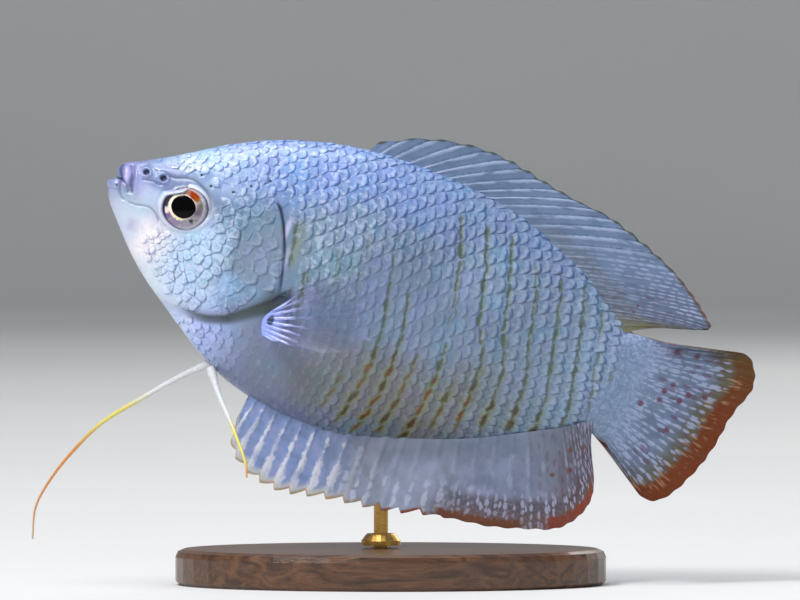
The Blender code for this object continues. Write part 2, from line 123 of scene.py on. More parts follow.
def bell(x, width, power=2):
    """1 at 0, and near 0 from about two widths on."""
    return np.exp(-(x / width) ** power)


back, belly = along_body(BACK), along_body(BELLY)
half_width, widest = along_body(HALF_WIDTH), along_body(WIDEST)
back_edge, belly_edge = along_body(BACK_EDGE), along_body(BELLY_EDGE)


def to_world(points):
    """Points in the body's frame, in millimetres, as metres in the model's frame."""
    u, y, w = np.asarray(points, float).T
    across, up = math.cos(NOSE_UP), math.sin(NOSE_UP)
    return np.column_stack((NOSE_X + u * across + w * up, y, NOSE_Z - u * up + w * across)) * MM


def on_body(u, angle):
    """Points of the plain body: angle 0 is the back, pi/2 the left flank, pi the belly."""
    top, bottom = back(u), belly(u)
    middle = bottom + widest(u) * (top - bottom)
    upper = np.cos(angle) > 0
    reach = np.where(upper, top - middle, middle - bottom)
    edge = np.where(upper, back_edge(u), belly_edge(u))
    side = np.sin(angle)
    across = half_width(u) * np.sign(side) * np.abs(side) ** edge
    return np.stack((u + 0.0 * angle, -across, middle + reach * np.cos(angle)), -1)


def angle_at(u, w):
    """The left flank's angle at height w."""
    top, bottom = back(u), belly(u)
    middle = bottom + widest(u) * (top - bottom)
    reach = np.where(w > middle, top - middle, middle - bottom)
    return np.arccos(np.clip((w - middle) / reach, -1.0, 1.0))


def normals(u, angle):
    """The plain body's outward normals."""
    step = 0.01
    ahead = on_body(u + step, angle) - on_body(np.maximum(u - step, NOSE_START), angle)
    round_ = on_body(u, angle + step) - on_body(u, angle - step)
    normal = np.cross(round_, ahead)
    return normal / np.maximum(np.linalg.norm(normal, axis=-1, keepdims=True), 1e-9)


# Unrolled flank: z is the length along a section's outline, up from w = 0
CHART_U = np.linspace(0.5, 64.0, 420)
CHART_STEPS = 400
CHART_SHARE = np.linspace(0.0, 1.0, 201)
MAP_LENGTH = 64.0  # the body's length on the OFBake map


def make_chart():
    """For stations along the body: the outline's length above and below w = 0, and its angles."""
    angles = np.linspace(0.0, math.pi, CHART_STEPS + 1)
    points = on_body(CHART_U[:, None], angles[None, :])
    steps = np.linalg.norm(np.diff(points[..., 1:], axis=1), axis=-1)
    length = np.concatenate((np.zeros((len(CHART_U), 1)), np.cumsum(steps, axis=1)), axis=1)
    above, whole, chart = [], length[:, -1], []
    for row in range(len(CHART_U)):
        above.append(np.interp(0.0, points[row, ::-1, 2], length[row, ::-1]))
        chart.append(np.interp(CHART_SHARE * whole[row], length[row], angles))
    return np.array(above), whole, np.array(chart)


CHART_ABOVE, CHART_WHOLE, CHART_ANGLE = make_chart()


def length_above(u):
    """The outline's length from w = 0 up to the back."""
    return np.interp(u, CHART_U, CHART_ABOVE)


def length_below(u):
    """The outline's length from w = 0 down to the belly."""
    return np.interp(u, CHART_U, CHART_WHOLE - CHART_ABOVE)


def unrolled(u, z, side):
    """The angle on the body, and the share of the ring from the back, of an unrolled place.

    side is -1 on the left flank and 1 on the right. A place past the back or the belly goes on
    round to the other flank.
    """
    whole = np.interp(u, CHART_U, CHART_WHOLE)
    share = (length_above(u) - z) / whole
    over = (share < 0) | (share > 1)
    share = np.where(share < 0, -share, np.where(share > 1, 2 - share, share))
    side = np.where(over, -side, side)
    column = np.clip((u - CHART_U[0]) / (CHART_U[1] - CHART_U[0]), 0, len(CHART_U) - 1.001)
    row = share * (len(CHART_SHARE) - 1.001)
    c, r = column.astype(int), row.astype(int)
    dc, dr = column - c, row - r
    angle = ((CHART_ANGLE[c, r] * (1 - dr) + CHART_ANGLE[c, r + 1] * dr) * (1 - dc)
             + (CHART_ANGLE[c + 1, r] * (1 - dr) + CHART_ANGLE[c + 1, r + 1] * dr) * dc)
    ring = np.where(side < 0, share / 2, 1 - share / 2)
    return np.where(side < 0, angle, math.tau - angle), ring


# ---------------------------------------------------------------- creases and plates of the head

# Each crease: u and w of points along it, depth, half width, darkness of the shade painted in it
MOUTH = ((-0.6, -0.3), (-0.15, -0.03), (0.35, 0.24), (0.82, 0.42), (1.2, 0.2), (1.38, -0.2),
         (1.5, -0.8), (1.95, -1.45), (2.69, -1.72))
CREASES = {
    "mouth": (MOUTH, 0.3, 0.14, 0.75),
    "lip_low": (((0.8, 0.5), (1.39, 0.28), (2.01, 0.06), (2.33, -0.3), (2.5, -0.95)),
                0.16, 0.15, 0.5),
    "lip_front": (((0.95, 2.2), (0.75, 1.67), (0.72, 1.11), (0.95, 0.66), (1.4, 0.4), (2.0, 0.15)),
                  0.04, 0.28, 0.7),
    "lip_back": (((1.7, 2.6), (1.95, 2.0), (2.2, 1.5), (2.46, 0.75), (2.7, -0.12), (3.05, -0.85)),
                 0.24, 0.24, 0.6),
    "jaw": (((2.5, -1.68), (3.37, -1.69), (3.95, -1.64), (4.82, -1.4), (5.5, -1.35), (6.13, -1.69),
             (6.7, -2.2), (7.0, -2.9)), 0.12, 0.14, 0.5),
    "under_lip": (((-0.2, -1.3), (0.4, -1.05), (0.9, -0.9), (1.4, -0.85)), 0.08, 0.16, 0.25),
    "brow": (((4.6, 2.66), (5.46, 2.85), (6.1, 2.75), (6.8, 2.81), (7.71, 3.16), (8.24, 3.32),
              (8.91, 3.35), (9.59, 3.14), (10.3, 2.84), (10.84, 2.46), (11.37, 1.88),
              (11.7, 1.2), (11.85, 0.4), (11.75, -0.6)), 0.15, 0.2, 0.55),
    "nostril_hood": (((2.7, 2.2), (2.95, 2.75), (3.5, 2.98), (4.16, 2.72), (4.9, 2.7)),
                     0.1, 0.2, 0.38),
    "nostril_fold": (((3.3, 1.2), (4.0, 1.35), (4.7, 1.5), (5.4, 1.42), (5.9, 1.7)),
                     0.08, 0.13, 0.4),
    "lid": (((7.0, 1.0), (7.4, 1.35), (8.3, 1.75), (9.0, 2.1), (9.5, 2.5)), 0.04, 0.12, 0.35),
    "chin_fold": (((5.2, -3.5), (5.9, -4.3), (6.6, -4.5), (7.6, -4.3)), 0.09, 0.16, 0.16),
    "chin_line": (((5.5, -6.1), (6.6, -6.0), (7.8, -6.7)), 0.06, 0.14, 0.1),
    "cheek_front": (((6.3, -2.5), (6.9, -3.6), (8.2, -4.9), (9.4, -6.6), (10.9, -8.5)),
                    0.07, 0.25, 0.08),
    "preopercle": (((14.6, 3.0), (15.3, 1.9), (15.7, 0.4), (16.1, -1.58), (16.45, -3.57),
                    (16.8, -5.38), (16.8, -7.4), (16.3, -8.8)), 0.12, 0.2, 0.36),
    "cheek_bend": (((15.2, -9.2), (13.6, -9.6), (12.0, -8.9), (10.4, -7.6)), 0.08, 0.2, 0.2),
    "gill_slit": (((18.1, 4.8), (19.0, 3.9), (19.94, 2.45), (20.55, 1.1), (21.1, -0.17),
                   (21.7, -2.3), (22.15, -3.95), (22.4, -5.1)), 0.4, 0.17, 0.95),
    "gill_under": (((22.6, -4.9), (21.9, -5.9), (20.9, -6.8), (19.4, -8.1), (17.8, -9.45),
                    (15.7, -10.35), (13.8, -10.6), (12.0, -10.35), (10.5, -9.9)),
                   0.3, 0.8, 0.5),
}
ENDS = 0.12  # share of a crease's length over which it fades in and out
OPERCLE_PROUD = 0.2
OPERCLE_SPREAD = 1.6
# A soft shade under the gill cover, widest below the gill slit
GILL_SHADE, GILL_SHADE_WIDTH = 1.0, 1.35

# The upper lip lies back from the lower one at the mouth's front
NOTCH = 0.95
NOTCH_ABOVE, NOTCH_BELOW = 0.75, 0.1
NOTCH_END = 0.5

# The nostrils, and the black pores of the sense organ on the forehead and nape, both pits whose
# dark inside is painted shade: u, w, radius
NOSTRILS = ((3.56, 2.16, 0.31), (5.58, 2.25, 0.33))
PORES = ((7.87, 4.46, 0.15), (8.59, 4.41, 0.09), (9.42, 4.15, 0.15), (10.86, 3.4, 0.16),
         (13.4, 3.71, 0.15), (15.01, 5.07, 0.15), (16.77, 6.38, 0.16), (6.41, 4.32, 0.08),
         (3.3, 3.05, 0.08), (1.05, -0.45, 0.15))

ORBIT_LONG, ORBIT_TALL = 2.5, 2.18  # half sizes of the eye's opening
# The lid's height over the eye's centre, in front, in the middle and behind, and how far it hangs
LID_LOW, LID_MIDDLE, LID_HIGH = 1.25, 1.58, 2.6
LID_FROM, LID_TO = -0.1, 1.0
LID_PROUD = 0.8
SOCKET_DEPTH = 1.4
# Raised edges of the lips and behind them: points, height, half width, and where each ends above
RIDGES = ((((1.0, 2.4), (1.35, 1.76), (1.65, 1.1), (1.85, 0.6), (2.15, 0.2)), 0.26, 0.42, 1.5),
          (((-0.1, -0.5), (0.6, -0.35), (1.15, -0.6)), 0.22, 0.42, 99.0),
          (((2.4, 1.9), (2.75, 1.1), (3.0, 0.3), (3.5, -0.9)), 0.1, 0.25, 99.0))
HEAD_END = 26.0  # no creases behind this
# Depth of a nostril, height of the rim round it, and depth of a pore
NOSTRIL_DEPTH, NOSTRIL_RIM, PORE_DEPTH = 0.45, 0.1, 0.12


def beside(points, u, w, count=24):
    """Distance from a smooth line of u and w, signed (above 0 to its left), and share along it."""
    line = path(points)(np.linspace(0.0, 1.0, count + 1))
    best = np.full(u.shape, 1e9)
    signed, along = np.zeros(u.shape), np.zeros(u.shape)
    for i, (start, end) in enumerate(zip(line, line[1:])):
        du, dw = end - start
        t = np.clip(((u - start[0]) * du + (w - start[1]) * dw) / (du * du + dw * dw), 0, 1)
        off_u, off_w = u - start[0] - t * du, w - start[1] - t * dw
        distance = np.hypot(off_u, off_w)
        nearer = distance < best
        best = np.where(nearer, distance, best)
        signed = np.where(nearer, distance * np.sign(du * off_w - dw * off_u), signed)
        along = np.where(nearer, (i + t) / count, along)
    return best, signed, along


def level(u, w):
    """Places beside the eye's centre, along and up from the level."""
    du, dw = u - EYE_U, w - EYE_W
    return (du * math.cos(NOSE_UP) + dw * math.sin(NOSE_UP),
            dw * math.cos(NOSE_UP) - du * math.sin(NOSE_UP))


def orbit(u, w):
    """Distance from the eye's centre, 1 at the edge of its opening, which the lid cuts off."""
    long_way, tall_way = level(u, w)
    lid = np.interp(long_way, (-ORBIT_LONG, 0.0), (LID_LOW, LID_MIDDLE))
    lid += (LID_HIGH - LID_MIDDLE) * ease(long_way, LID_FROM, LID_TO)
    return np.maximum(np.hypot(long_way / ORBIT_LONG, tall_way / ORBIT_TALL),
                      1 + (tall_way - lid) / ORBIT_TALL)


def head_relief(u, w):
    """Height over the plain head, and how dark the shade painted in its creases is, at u and w."""
    height, dark = np.zeros(u.shape), np.zeros(u.shape)
    for name, (points, depth, width, darkness) in CREASES.items():
        distance, signed, along = beside(points, u, w)
        fade = ease(along, 0.0, ENDS) * (1 - ease(along, 1 - ENDS, 1.0))
        shade_strength = 1.0
        if name == "mouth":
            fade = 1 - ease(along, 1 - ENDS, 1.0)
            shade_strength = 1 - 0.5 * ease(along, 0.3, 0.45)
        if name == "gill_slit":
            fade = ease(along, 0.0, 0.08) * (1 - ease(along, 1 - ENDS, 1.0))
            shade_strength = 1 - 0.55 * ease(along, 0.35, 0.7)
        if name == "gill_under":
            fade = 1 - ease(along, 0.6, 1.0)
            wide = GILL_SHADE_WIDTH * (1 - 0.4 * ease(along, 0.1, 0.7))
            shade = np.where(signed < 0, bell(distance, 0.4), bell(distance, wide, 4))
            dark = np.maximum(dark, GILL_SHADE * shade * (1 - 0.2 * ease(along, 0.15, 0.3)) * fade)
        trough = bell(distance, width) * fade
        height -= depth * trough
        dark = np.maximum(dark, darkness * trough * shade_strength)
        if name in ("gill_slit", "gill_under"):
            inside = np.clip(-signed, 0.0, None)
            height += OPERCLE_PROUD * np.exp(-inside / OPERCLE_SPREAD) * (signed < 0) * fade
    for points, proud, width, top in RIDGES:
        height += proud * bell(beside(points, u, w)[0], width) * (1 - ease(w, top, top + 0.8))
    ring = orbit(u, w)
    long_way, tall_way = level(u, w)
    height -= SOCKET_DEPTH * (1 - ease(ring, 0.92, 1.05))
    height += 0.13 * bell(ring - 1.12, 0.1) - 0.06 * bell(ring - 1.3, 0.05)
    over_eye = 1 - ease(np.hypot(long_way / ORBIT_LONG, tall_way / ORBIT_TALL), 0.7, 1.2)
    height += LID_PROUD * over_eye * ease(ring, 0.99, 1.04) * (tall_way > 0)
    # painted shade in the gap at the edge of the eye's opening, fainter behind
    rim = (0.6 - 0.5 * ease(long_way, 0.4, 1.6)) * bell(ring - 0.99, 0.05)
    below = ease(-w, -1.0, 1.0) * ease(-u, -11.5, -10.0)
    dark = np.maximum(np.maximum(dark, rim), 0.4 * bell(ring - 1.24, 0.03) * below)
    for place_u, place_w, radius in NOSTRILS:
        distance = np.hypot(u - place_u, w - place_w)
        height += NOSTRIL_RIM * bell(distance - 1.6 * radius, 0.15)
        height -= NOSTRIL_DEPTH * bell(distance, radius, 4)
    for place_u, place_w, radius in PORES:
        height -= PORE_DEPTH * bell(np.hypot(u - place_u, w - place_w), radius)
    return height, dark


def relief(u, w):
    """The same for the whole body, where only the head has creases."""
    height, dark = np.zeros(u.shape), np.zeros(u.shape)
    head = u < HEAD_END
    height[head], dark[head] = head_relief(u[head], w[head])
    return height, dark


# ---------------------------------------------------------------- scale rows and the bars

# Where every second column of scales crosses the middle of the flank. The others stand between.
COLUMNS = ((-14, 2.0), (-10, 11.6), (-8, 16.0), (-7, 18.2), (-6, 20.4), (-5, 22.7), (-4, 25.2),
           (-3, 27.7), (-2, 29.9), (-1, 32.2), (0, 34.6), (1, 36.9), (2, 39.1), (3, 41.6),
           (4, 43.9), (5, 46.4), (6, 49.0), (7, 51.7), (8, 54.3), (9, 57.2), (10, 60.2),
           (11, 63.0))
# How far a column leans from there: unrolled height, then the shift along the body
LEAN = ((-24.0, -4.4), (-20.0, -2.6), (-15.0, -0.8), (-11.0, -0.15), (-7.5, 0.0), (-4.0, -0.2),
        (0.0, -1.15), (2.8, -1.8), (6.6, -2.8), (10.8, -4.3), (16.0, -6.3), (20.0, -7.8))
# Height of a row number where the body is deepest
ROWS = ((-14, -22.0), (-12, -19.5), (-9, -15.6), (-6, -11.1), (-3, -5.8), (0, 0.0), (3, 5.8),
        (6, 11.1), (9, 15.6), (12, 19.5), (14, 22.0))
DEEPEST_ABOVE, DEEPEST_BELOW = 17.0, 20.0
ROWS_CLOSE = 0.75  # how far rows close up where the body is lower

# The dark bars themselves: u at mid flank, shift of the part above, upper and lower end, strength
BAR_LINES = ((23.1, 0.0, 3.8, -1.8, 0.85), (24.9, 0.0, -1.4, -5.8, 0.9),
             (28.3, 0.0, 2.0, -1.5, 0.55), (31.5, 0.0, 4.7, 2.3, 0.6), (31.0, 0.0, 0.8, -1.3, 0.5),
             (32.2, 0.0, -10.6, -14.6, 0.45), (34.6, 0.0, 3.8, -15.8, 0.9),
             (36.9, 0.0, 0.5, -16.3, 1.0), (39.1, 0.0, -5.0, -15.2, 0.9),
             (41.9, 0.3, 10.8, -15.0, 1.0), (43.9, 0.0, -7.0, -12.4, 0.8),
             (46.2, -0.9, 10.8, -11.6, 1.0), (48.8, -0.6, 10.8, -10.6, 1.0),
             (51.6, -0.3, 8.6, -9.5, 0.95), (54.3, -0.1, 8.8, -9.2, 0.9),
             (57.0, 0.0, 9.0, -6.9, 0.9), (59.3, 0.0, 7.0, -4.2, 0.85),
             (61.1, 0.0, 1.0, -4.0, 0.8))
BAR_FADE = 0.7
BAR_REACH = 0.75, 1.0  # a bar's halo ends between these distances from its line

column_place = through(COLUMNS)
lean, row_height = through(LEAN), through(ROWS)


def rows_share(u, z):
    """How much closer the rows are at u than where the body is deepest."""
    above = (length_above(u) / DEEPEST_ABOVE) ** ROWS_CLOSE
    below = (length_below(u) / DEEPEST_BELOW) ** ROWS_CLOSE
    return np.where(z > 0, above, below)


def lattice_place(column, row):
    """The unrolled place of a scale, by its column, counted in halves, and its row."""
    z = row_height(row)
    for _ in range(6):
        u = column_place(column) + lean(z)
        z = row_height(row) * rows_share(u, row)
    return u, z


def bar_values(u, z, w):
    """The nearest bar: distance along the body, the bar's number, and its strength there."""
    distance, number, strength = (np.full(u.shape, value) for value in (9.0, 0.0, 0.0))
    for i, (place, shift, top, bottom, strong) in enumerate(BAR_LINES):
        here = u - place - lean(z) - shift * ease(w, -3.0, 1.0)
        ends = ease(w, bottom - BAR_FADE, bottom + BAR_FADE) * ease(-w, -top - BAR_FADE,
                                                                    BAR_FADE - top)
        nearer = (np.abs(here) < np.abs(distance)) & (ends > 0)
        distance = np.where(nearer, here, distance)
        number = np.where(nearer, float(i), number)
        strength = np.where(nearer, ends * strong * (1 - ease(np.abs(here), *BAR_REACH)), strength)
    return np.stack((distance, number, strength), -1)


# ---------------------------------------------------------------- colours

def srgb(red, green, blue):
    """A colour of 0 to 255 as Blender's linear one."""
    values = np.array((red, green, blue), float) / 255
    return np.where(values < 0.04045, values / 12.92, ((values + 0.055) / 1.055) ** 2.4)


FLANK_COLOUR = (112, 132, 160)
# Soft patches of colour over the flank's, some of them painted shade and one a painted highlight: u
# and w, half sizes, colour, strength
COLOUR_SHADE_AND_HIGHLIGHT_PATCHES = (
    ((26.0, 12.5), (13.0, 5.0), (112, 142, 197), 0.9),     # front of the back
    ((46.0, 11.0), (9.0, 4.0), (108, 131, 172), 0.8),      # rear of the back
    ((19.0, 9.0), (8.5, 5.5), (121, 153, 209), 0.95),      # nape
    ((25.5, 2.5), (4.0, 5.0), (128, 154, 172), 0.8),       # behind the gill slit
    ((9.0, 6.2), (6.0, 3.4), (166, 190, 228), 0.95),       # forehead
    ((12.6, 7.4), (3.4, 2.6), (130, 160, 208), 0.8),       # where it meets the nape
    ((4.4, 2.0), (3.4, 2.2), (118, 128, 178), 0.9),        # snout
    ((1.6, 1.2), (1.3, 2.0), (128, 128, 184), 0.9),        # upper lip
    ((1.7, 1.0), (0.4, 1.0), (190, 182, 246), 0.85),       # its ridge, with a painted highlight
    ((3.1, 0.9), (0.5, 1.6), (148, 152, 206), 0.7),        # behind it
    ((5.2, -0.2), (1.8, 1.2), (196, 208, 240), 0.8),       # below the nostrils
    ((0.4, -0.9), (1.2, 0.6), (146, 148, 202), 0.85),      # lower lip
    ((4.0, -4.2), (3.6, 3.4), (206, 216, 238), 0.95),      # chin
    ((4.5, -3.9), (0.75, 0.75), (166, 168, 208), 0.85),    # a dull spot there
    ((7.6, -5.2), (3.0, 2.8), (255, 246, 252), 0.95),      # front of the cheek
    ((9.5, -8.5), (3.4, 2.4), (234, 240, 252), 0.9),       # below it
    ((12.0, -4.2), (3.6, 4.4), (190, 220, 248), 0.9),      # cheek
    ((13.6, -8.6), (3.6, 1.8), (194, 218, 252), 0.8),      # its lower part
    ((18.6, -1.0), (2.6, 5.0), (122, 140, 162), 0.9),      # gill cover
    ((17.8, -6.8), (2.4, 2.2), (133, 162, 200), 0.8),      # its lower corner
    ((16.2, -6.2), (0.8, 1.3), (160, 190, 230), 0.8),      # a pale plate on it
    ((13.5, -12.6), (5.0, 2.0), (202, 218, 255), 0.9),     # throat
    ((18.0, -12.2), (3.6, 3.0), (164, 180, 236), 0.85),    # breast
    ((24.5, -12.5), (6.0, 5.0), (110, 122, 148), 0.9),     # belly, darker as painted shade of the underside
    ((29.5, -12.8), (2.5, 2.5), (92, 100, 108), 0.6),      # its rear, darker still as painted shade
    ((26.5, -7.0), (5.0, 4.0), (120, 134, 168), 0.7),      # under the flank fin
    ((38.0, -11.0), (11.0, 5.0), (112, 112, 110), 0.85),   # lower flank
    ((47.5, -6.5), (4.0, 3.0), (104, 106, 98), 0.75),      # behind that
    ((42.5, 5.5), (4.0, 4.0), (130, 152, 180), 0.7),       # middle of the flank
    ((36.0, 4.0), (3.0, 3.5), (102, 122, 148), 0.6),       # before it
    ((52.0, -6.0), (5.0, 5.0), (112, 135, 152), 0.7),      # rear of the flank
    ((59.5, 0.0), (5.0, 7.0), (124, 150, 178), 0.8),       # tail stalk
    ((20.5, 2.3), (0.3, 1.3), (214, 210, 250), 0.6),       # rim behind the gill slit
    ((21.6, -0.8), (0.3, 1.4), (190, 192, 230), 0.5),      # its lower part
    ((22.2, 1.4), (0.7, 2.4), (128, 146, 124), 0.5),       # olive behind that
    ((22.6, -6.0), (1.7, 1.2), (72, 88, 80), 0.85),        # painted shadow under the gill cover, above the flank fin's root
)
# Where scales lie flat and hardly show: u and w, half sizes, strength
CALM = (((25.5, -13.5), (7.0, 7.0), 1.0), ((37.0, -2.0), (10.0, 7.0), 0.6),
        ((29.0, -7.0), (5.5, 5.5), 0.8), ((38.0, -12.0), (9.0, 5.0), 0.65),
        ((23.0, -2.0), (1.4, 6.0), 0.6), ((18.4, -1.2), (2.6, 5.2), 0.55),
        ((50.0, -3.0), (6.0, 7.0), 0.35), ((61.8, 0.0), (1.8, 8.0), 0.9))
EYE_RIM_COLOUR = (216, 222, 242)


def blob(u, w, place, size):
    """1 in the middle of a soft patch, 0 outside."""
    return bell(u - place[0], size[0], 4) * bell(w - place[1], size[1], 4)


def tint(u, w):
    """The body's ground colour at u and w, with some painted shade and a painted highlight."""
    colour = np.tile(srgb(*FLANK_COLOUR), u.shape + (1,))
    for place, size, patch, strength in COLOUR_SHADE_AND_HIGHLIGHT_PATCHES:
        colour += (srgb(*patch) - colour) * strength * blob(u, w, place, size)[..., None]
    rim = 0.8 * bell(orbit(u, w) - 1.13, 0.1)
    return colour + (srgb(*EYE_RIM_COLOUR) - colour) * rim[..., None]


def calm(u, w):
    """How little the scales show at u and w."""
    return np.max([strength * blob(u, w, place, size) for place, size, strength in CALM], axis=0)


# ---------------------------------------------------------------- meshes

def add_mesh(name, points, faces, look, values, uv=None, sharp=50.0):
    """An object riding on the model.

    points are in the body's frame, faces a list of arrays of point numbers, values the named
    values of each point, uv the OFBake place of each face corner, and sharp the angle in degrees
    from which an edge is sharp.
    """
    mesh = bpy.data.meshes.new(name)
    loops = np.concatenate([face.ravel() for face in faces]).astype(np.int32)
    sizes = np.concatenate([np.full(len(face), face.shape[1]) for face in faces])
    mesh.vertices.add(len(points))
    mesh.vertices.foreach_set("co", to_world(points).astype(np.float32).ravel())
    mesh.loops.add(len(loops))
    mesh.loops.foreach_set("vertex_index", loops)
    mesh.polygons.add(len(sizes))
    mesh.polygons.foreach_set("loop_start", (np.cumsum(sizes) - sizes).astype(np.int32))
    mesh.update(calc_edges=True)
    if uv is not None:
        mesh.uv_layers.new(name="OFBake")
        mesh.uv_layers["OFBake"].data.foreach_set("uv", uv.astype(np.float32).ravel())
    for key, value in values.items():
        kind, field = {1: ("FLOAT", "value"), 3: ("FLOAT_VECTOR", "vector"),
                       4: ("FLOAT_COLOR", "color")}[1 if value.ndim == 1 else value.shape[1]]
        data = mesh.attributes.new(key, kind, "POINT").data
        data.foreach_set(field, value.astype(np.float32).ravel())
    mesh.shade_smooth()
    if sharp:
        mesh.set_sharp_from_angle(angle=math.radians(sharp))
    mesh.materials.append(look)
    made = bpy.data.objects.new(name, mesh)
    bpy.context.scene.collection.objects.link(made)
    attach(made, "root")
    return made


def turns(count):
    """Angles that go once round."""
    return np.arange(count) / count * math.tau


def grid_quads(number):
    """The quads of a grid of point numbers."""
    return np.stack((number[:-1, :-1], number[:-1, 1:], number[1:, 1:], number[1:, :-1]),
                    -1).reshape(-1, 4)


def tube(rows, columns):
    """Quads between rings of points, and triangles to a point at each end."""
    number = np.arange(rows * columns).reshape(rows, columns)
    closed = np.concatenate((number, number[:, :1]), axis=1)
    caps = np.concatenate([
        np.stack((ring[first], ring[second], np.full(columns, number.size + end)), -1)
        for end, ring, first, second in ((0, closed[0], slice(1, None), slice(-1)),
                                         (1, closed[-1], slice(-1), slice(1, None)))])
    return grid_quads(closed), caps


def spokes(turn, ahead, up):
    """Directions at some angles between two directions."""
    return np.cos(turn)[:, None] * ahead + np.sin(turn)[:, None] * up


def body_values(points):
    """u, distance from the middle and w of points, for patterns that are the same on both sides."""
    return np.column_stack((points[:, 0], np.abs(points[:, 1]), points[:, 2]))


def flesh_values(points, u, w, z, shade, cell, dark):
    """What the material of skin and scales reads at each point."""
    colour = tint(u, w) * shade
    return {"body": body_values(points),
            "tint": np.concatenate((colour, np.ones((len(colour), 1))), 1),
            "cell": np.column_stack((cell, calm(u, w), dark)), "bar": bar_values(u, z, w)}


# ---------------------------------------------------------------- skin

SNOUT_STATIONS, HEAD_STATIONS, BODY_STATIONS = 46, 164, 70
SNOUT_LENGTH, HEAD_LENGTH = 2.6, 24.0
RING = 352
RING_CROWD = 0.22  # how much closer the points are on the flanks
COAT = 0.2  # the skin lies this far inside the CAD's surface, under the scales
COAT_FROM, COAT_FULL = 3.0, 12.0
BARE = -2.0  # marks the skin among the scales' values
SKIN_UNDER = 0.03  # and this much further, so that scales stay over it


def skin_grid():
    """u and angle of the skin's points, closest at the blunt snout."""
    snout = np.linspace(math.sqrt(NOSE_START), math.sqrt(SNOUT_LENGTH), SNOUT_STATIONS + 1) ** 2
    head = np.linspace(SNOUT_LENGTH, HEAD_LENGTH, HEAD_STATIONS + 1)[1:]
    trunk = np.linspace(HEAD_LENGTH, BODY_END, BODY_STATIONS + 1)[1:]
    turn = turns(RING)
    return np.concatenate((snout, head, trunk)), turn + RING_CROWD / 2 * np.sin(2 * turn)


def mouth_notch(u, w):
    """How far the upper lip's front lies back."""
    _, signed, along = beside(MOUTH, u, w)
    width = np.where(signed > 0, NOTCH_ABOVE, NOTCH_BELOW)
    return NOTCH * bell(signed, width) * (1 - ease(along, 0.12, NOTCH_END)) * (u < 4.0)


def make_skin(look):
    """One skin over head, lips, gill covers, trunk and tail stalk."""
    stations, turn = skin_grid()
    u, angle = np.meshgrid(stations, turn, indexing="ij")
    points = on_body(u, angle)
    w = points[..., 2]
    height, dark = relief(u, w)
    z = length_above(u) - unrolled_length(u, angle)
    coat = COAT * ease(u, COAT_FROM, COAT_FULL) + SKIN_UNDER
    points = points + normals(u, angle) * (height - coat)[..., None]
    points[..., 0] += mouth_notch(u, w)
    tips = np.array((points[0].mean(0) - (0.05, 0, 0), points[-1].mean(0) + (0.2, 0, 0)))
    flat = np.concatenate((points.reshape(-1, 3), tips))

    along, ring = stations / MAP_LENGTH, np.arange(RING + 1) / RING
    places = np.stack(np.meshgrid(along, ring, indexing="ij"), -1)
    corners = grid_quads(np.arange(len(along) * len(ring)).reshape(len(along), -1))
    uv = [places.reshape(-1, 2)[corners].reshape(-1, 2)]
    for row, tip, order in ((0, -0.002, -1), (-1, 0.01, 1)):
        edge = places[row]
        middle = (edge[1:] + edge[:-1]) / 2 + (tip, 0)
        uv.append(np.stack([edge[:-1], edge[1:]][::order] + [middle], 1).reshape(-1, 2))

    values = flesh_values(points.reshape(-1, 3), *(value.ravel() for value in (u, w, z)), 1.0,
                          np.full(u.size, BARE), dark.ravel())
    values = {key: np.concatenate((value, value[:1], value[-1:])) for key, value in values.items()}
    values["body"] = body_values(flat)
    made = add_mesh("skin", flat, tube(*u.shape), look, values, np.concatenate(uv), sharp=None)
    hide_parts("head", "upper_lip", "lower_jaw", "gill_cover_left", "gill_cover_right",
                "trunk", "tail_stalk")


def unrolled_length(u, angle):
    """The outline's length down from the back to an angle, on either flank."""
    folded = np.where(angle > math.pi, math.tau - angle, angle)
    lengths = np.empty(u.shape)
    for row in range(u.shape[0]):
        station = u[row, 0]
        column = np.clip((station - CHART_U[0]) / (CHART_U[1] - CHART_U[0]), 0,
                         len(CHART_U) - 1.001)
        c = int(column)
        angles = CHART_ANGLE[c] * (1 - column + c) + CHART_ANGLE[c + 1] * (column - c)
        whole = np.interp(station, CHART_U, CHART_WHOLE)
        lengths[row] = np.interp(folded[row], angles, CHART_SHARE) * whole
    return lengths


# ---------------------------------------------------------------- scales

PLATE_STEPS = 10
PLATE_THICKNESS = 0.07
PATCH = 0.003  # a scale's share of the OFBake map
DRAWN_IN = 0.22, 0.5  # how far a scale's rear edge draws in at its upper and lower side
SPOKES = 24
SHARES = (0.4, 0.75, 0.9, 1.0)  # rings of a head plate, from its middle to its edge
EDGE_THIN = 0.03  # how far a scale's rear edge dips
SIDES = (("left", -1), ("right", 1))  # the flanks, and where they lie along y
REAR_FROM = 41.0  # where the rear half of the scales begins
LONG, WIDE = 2.12, 1.12  # a trunk scale's size, as a share of the distance to the next ones
LIFT = 0.14  # how far its rear edge stands over its front one
UNDER_OFF = (0.0, 1.5)  # where a scale's underside lies on its patch, beside its face


def solid_map(points, rim, under, faces):
    """The map of a scale's lists of faces. The second is its edge, drawn outside its face."""
    flat = points[:, :2] * 0.5
    outer = flat.copy()
    outer[under] = flat[rim] * 1.25
    return [outer[face] if i == 1 else flat[face] for i, face in enumerate(faces)]


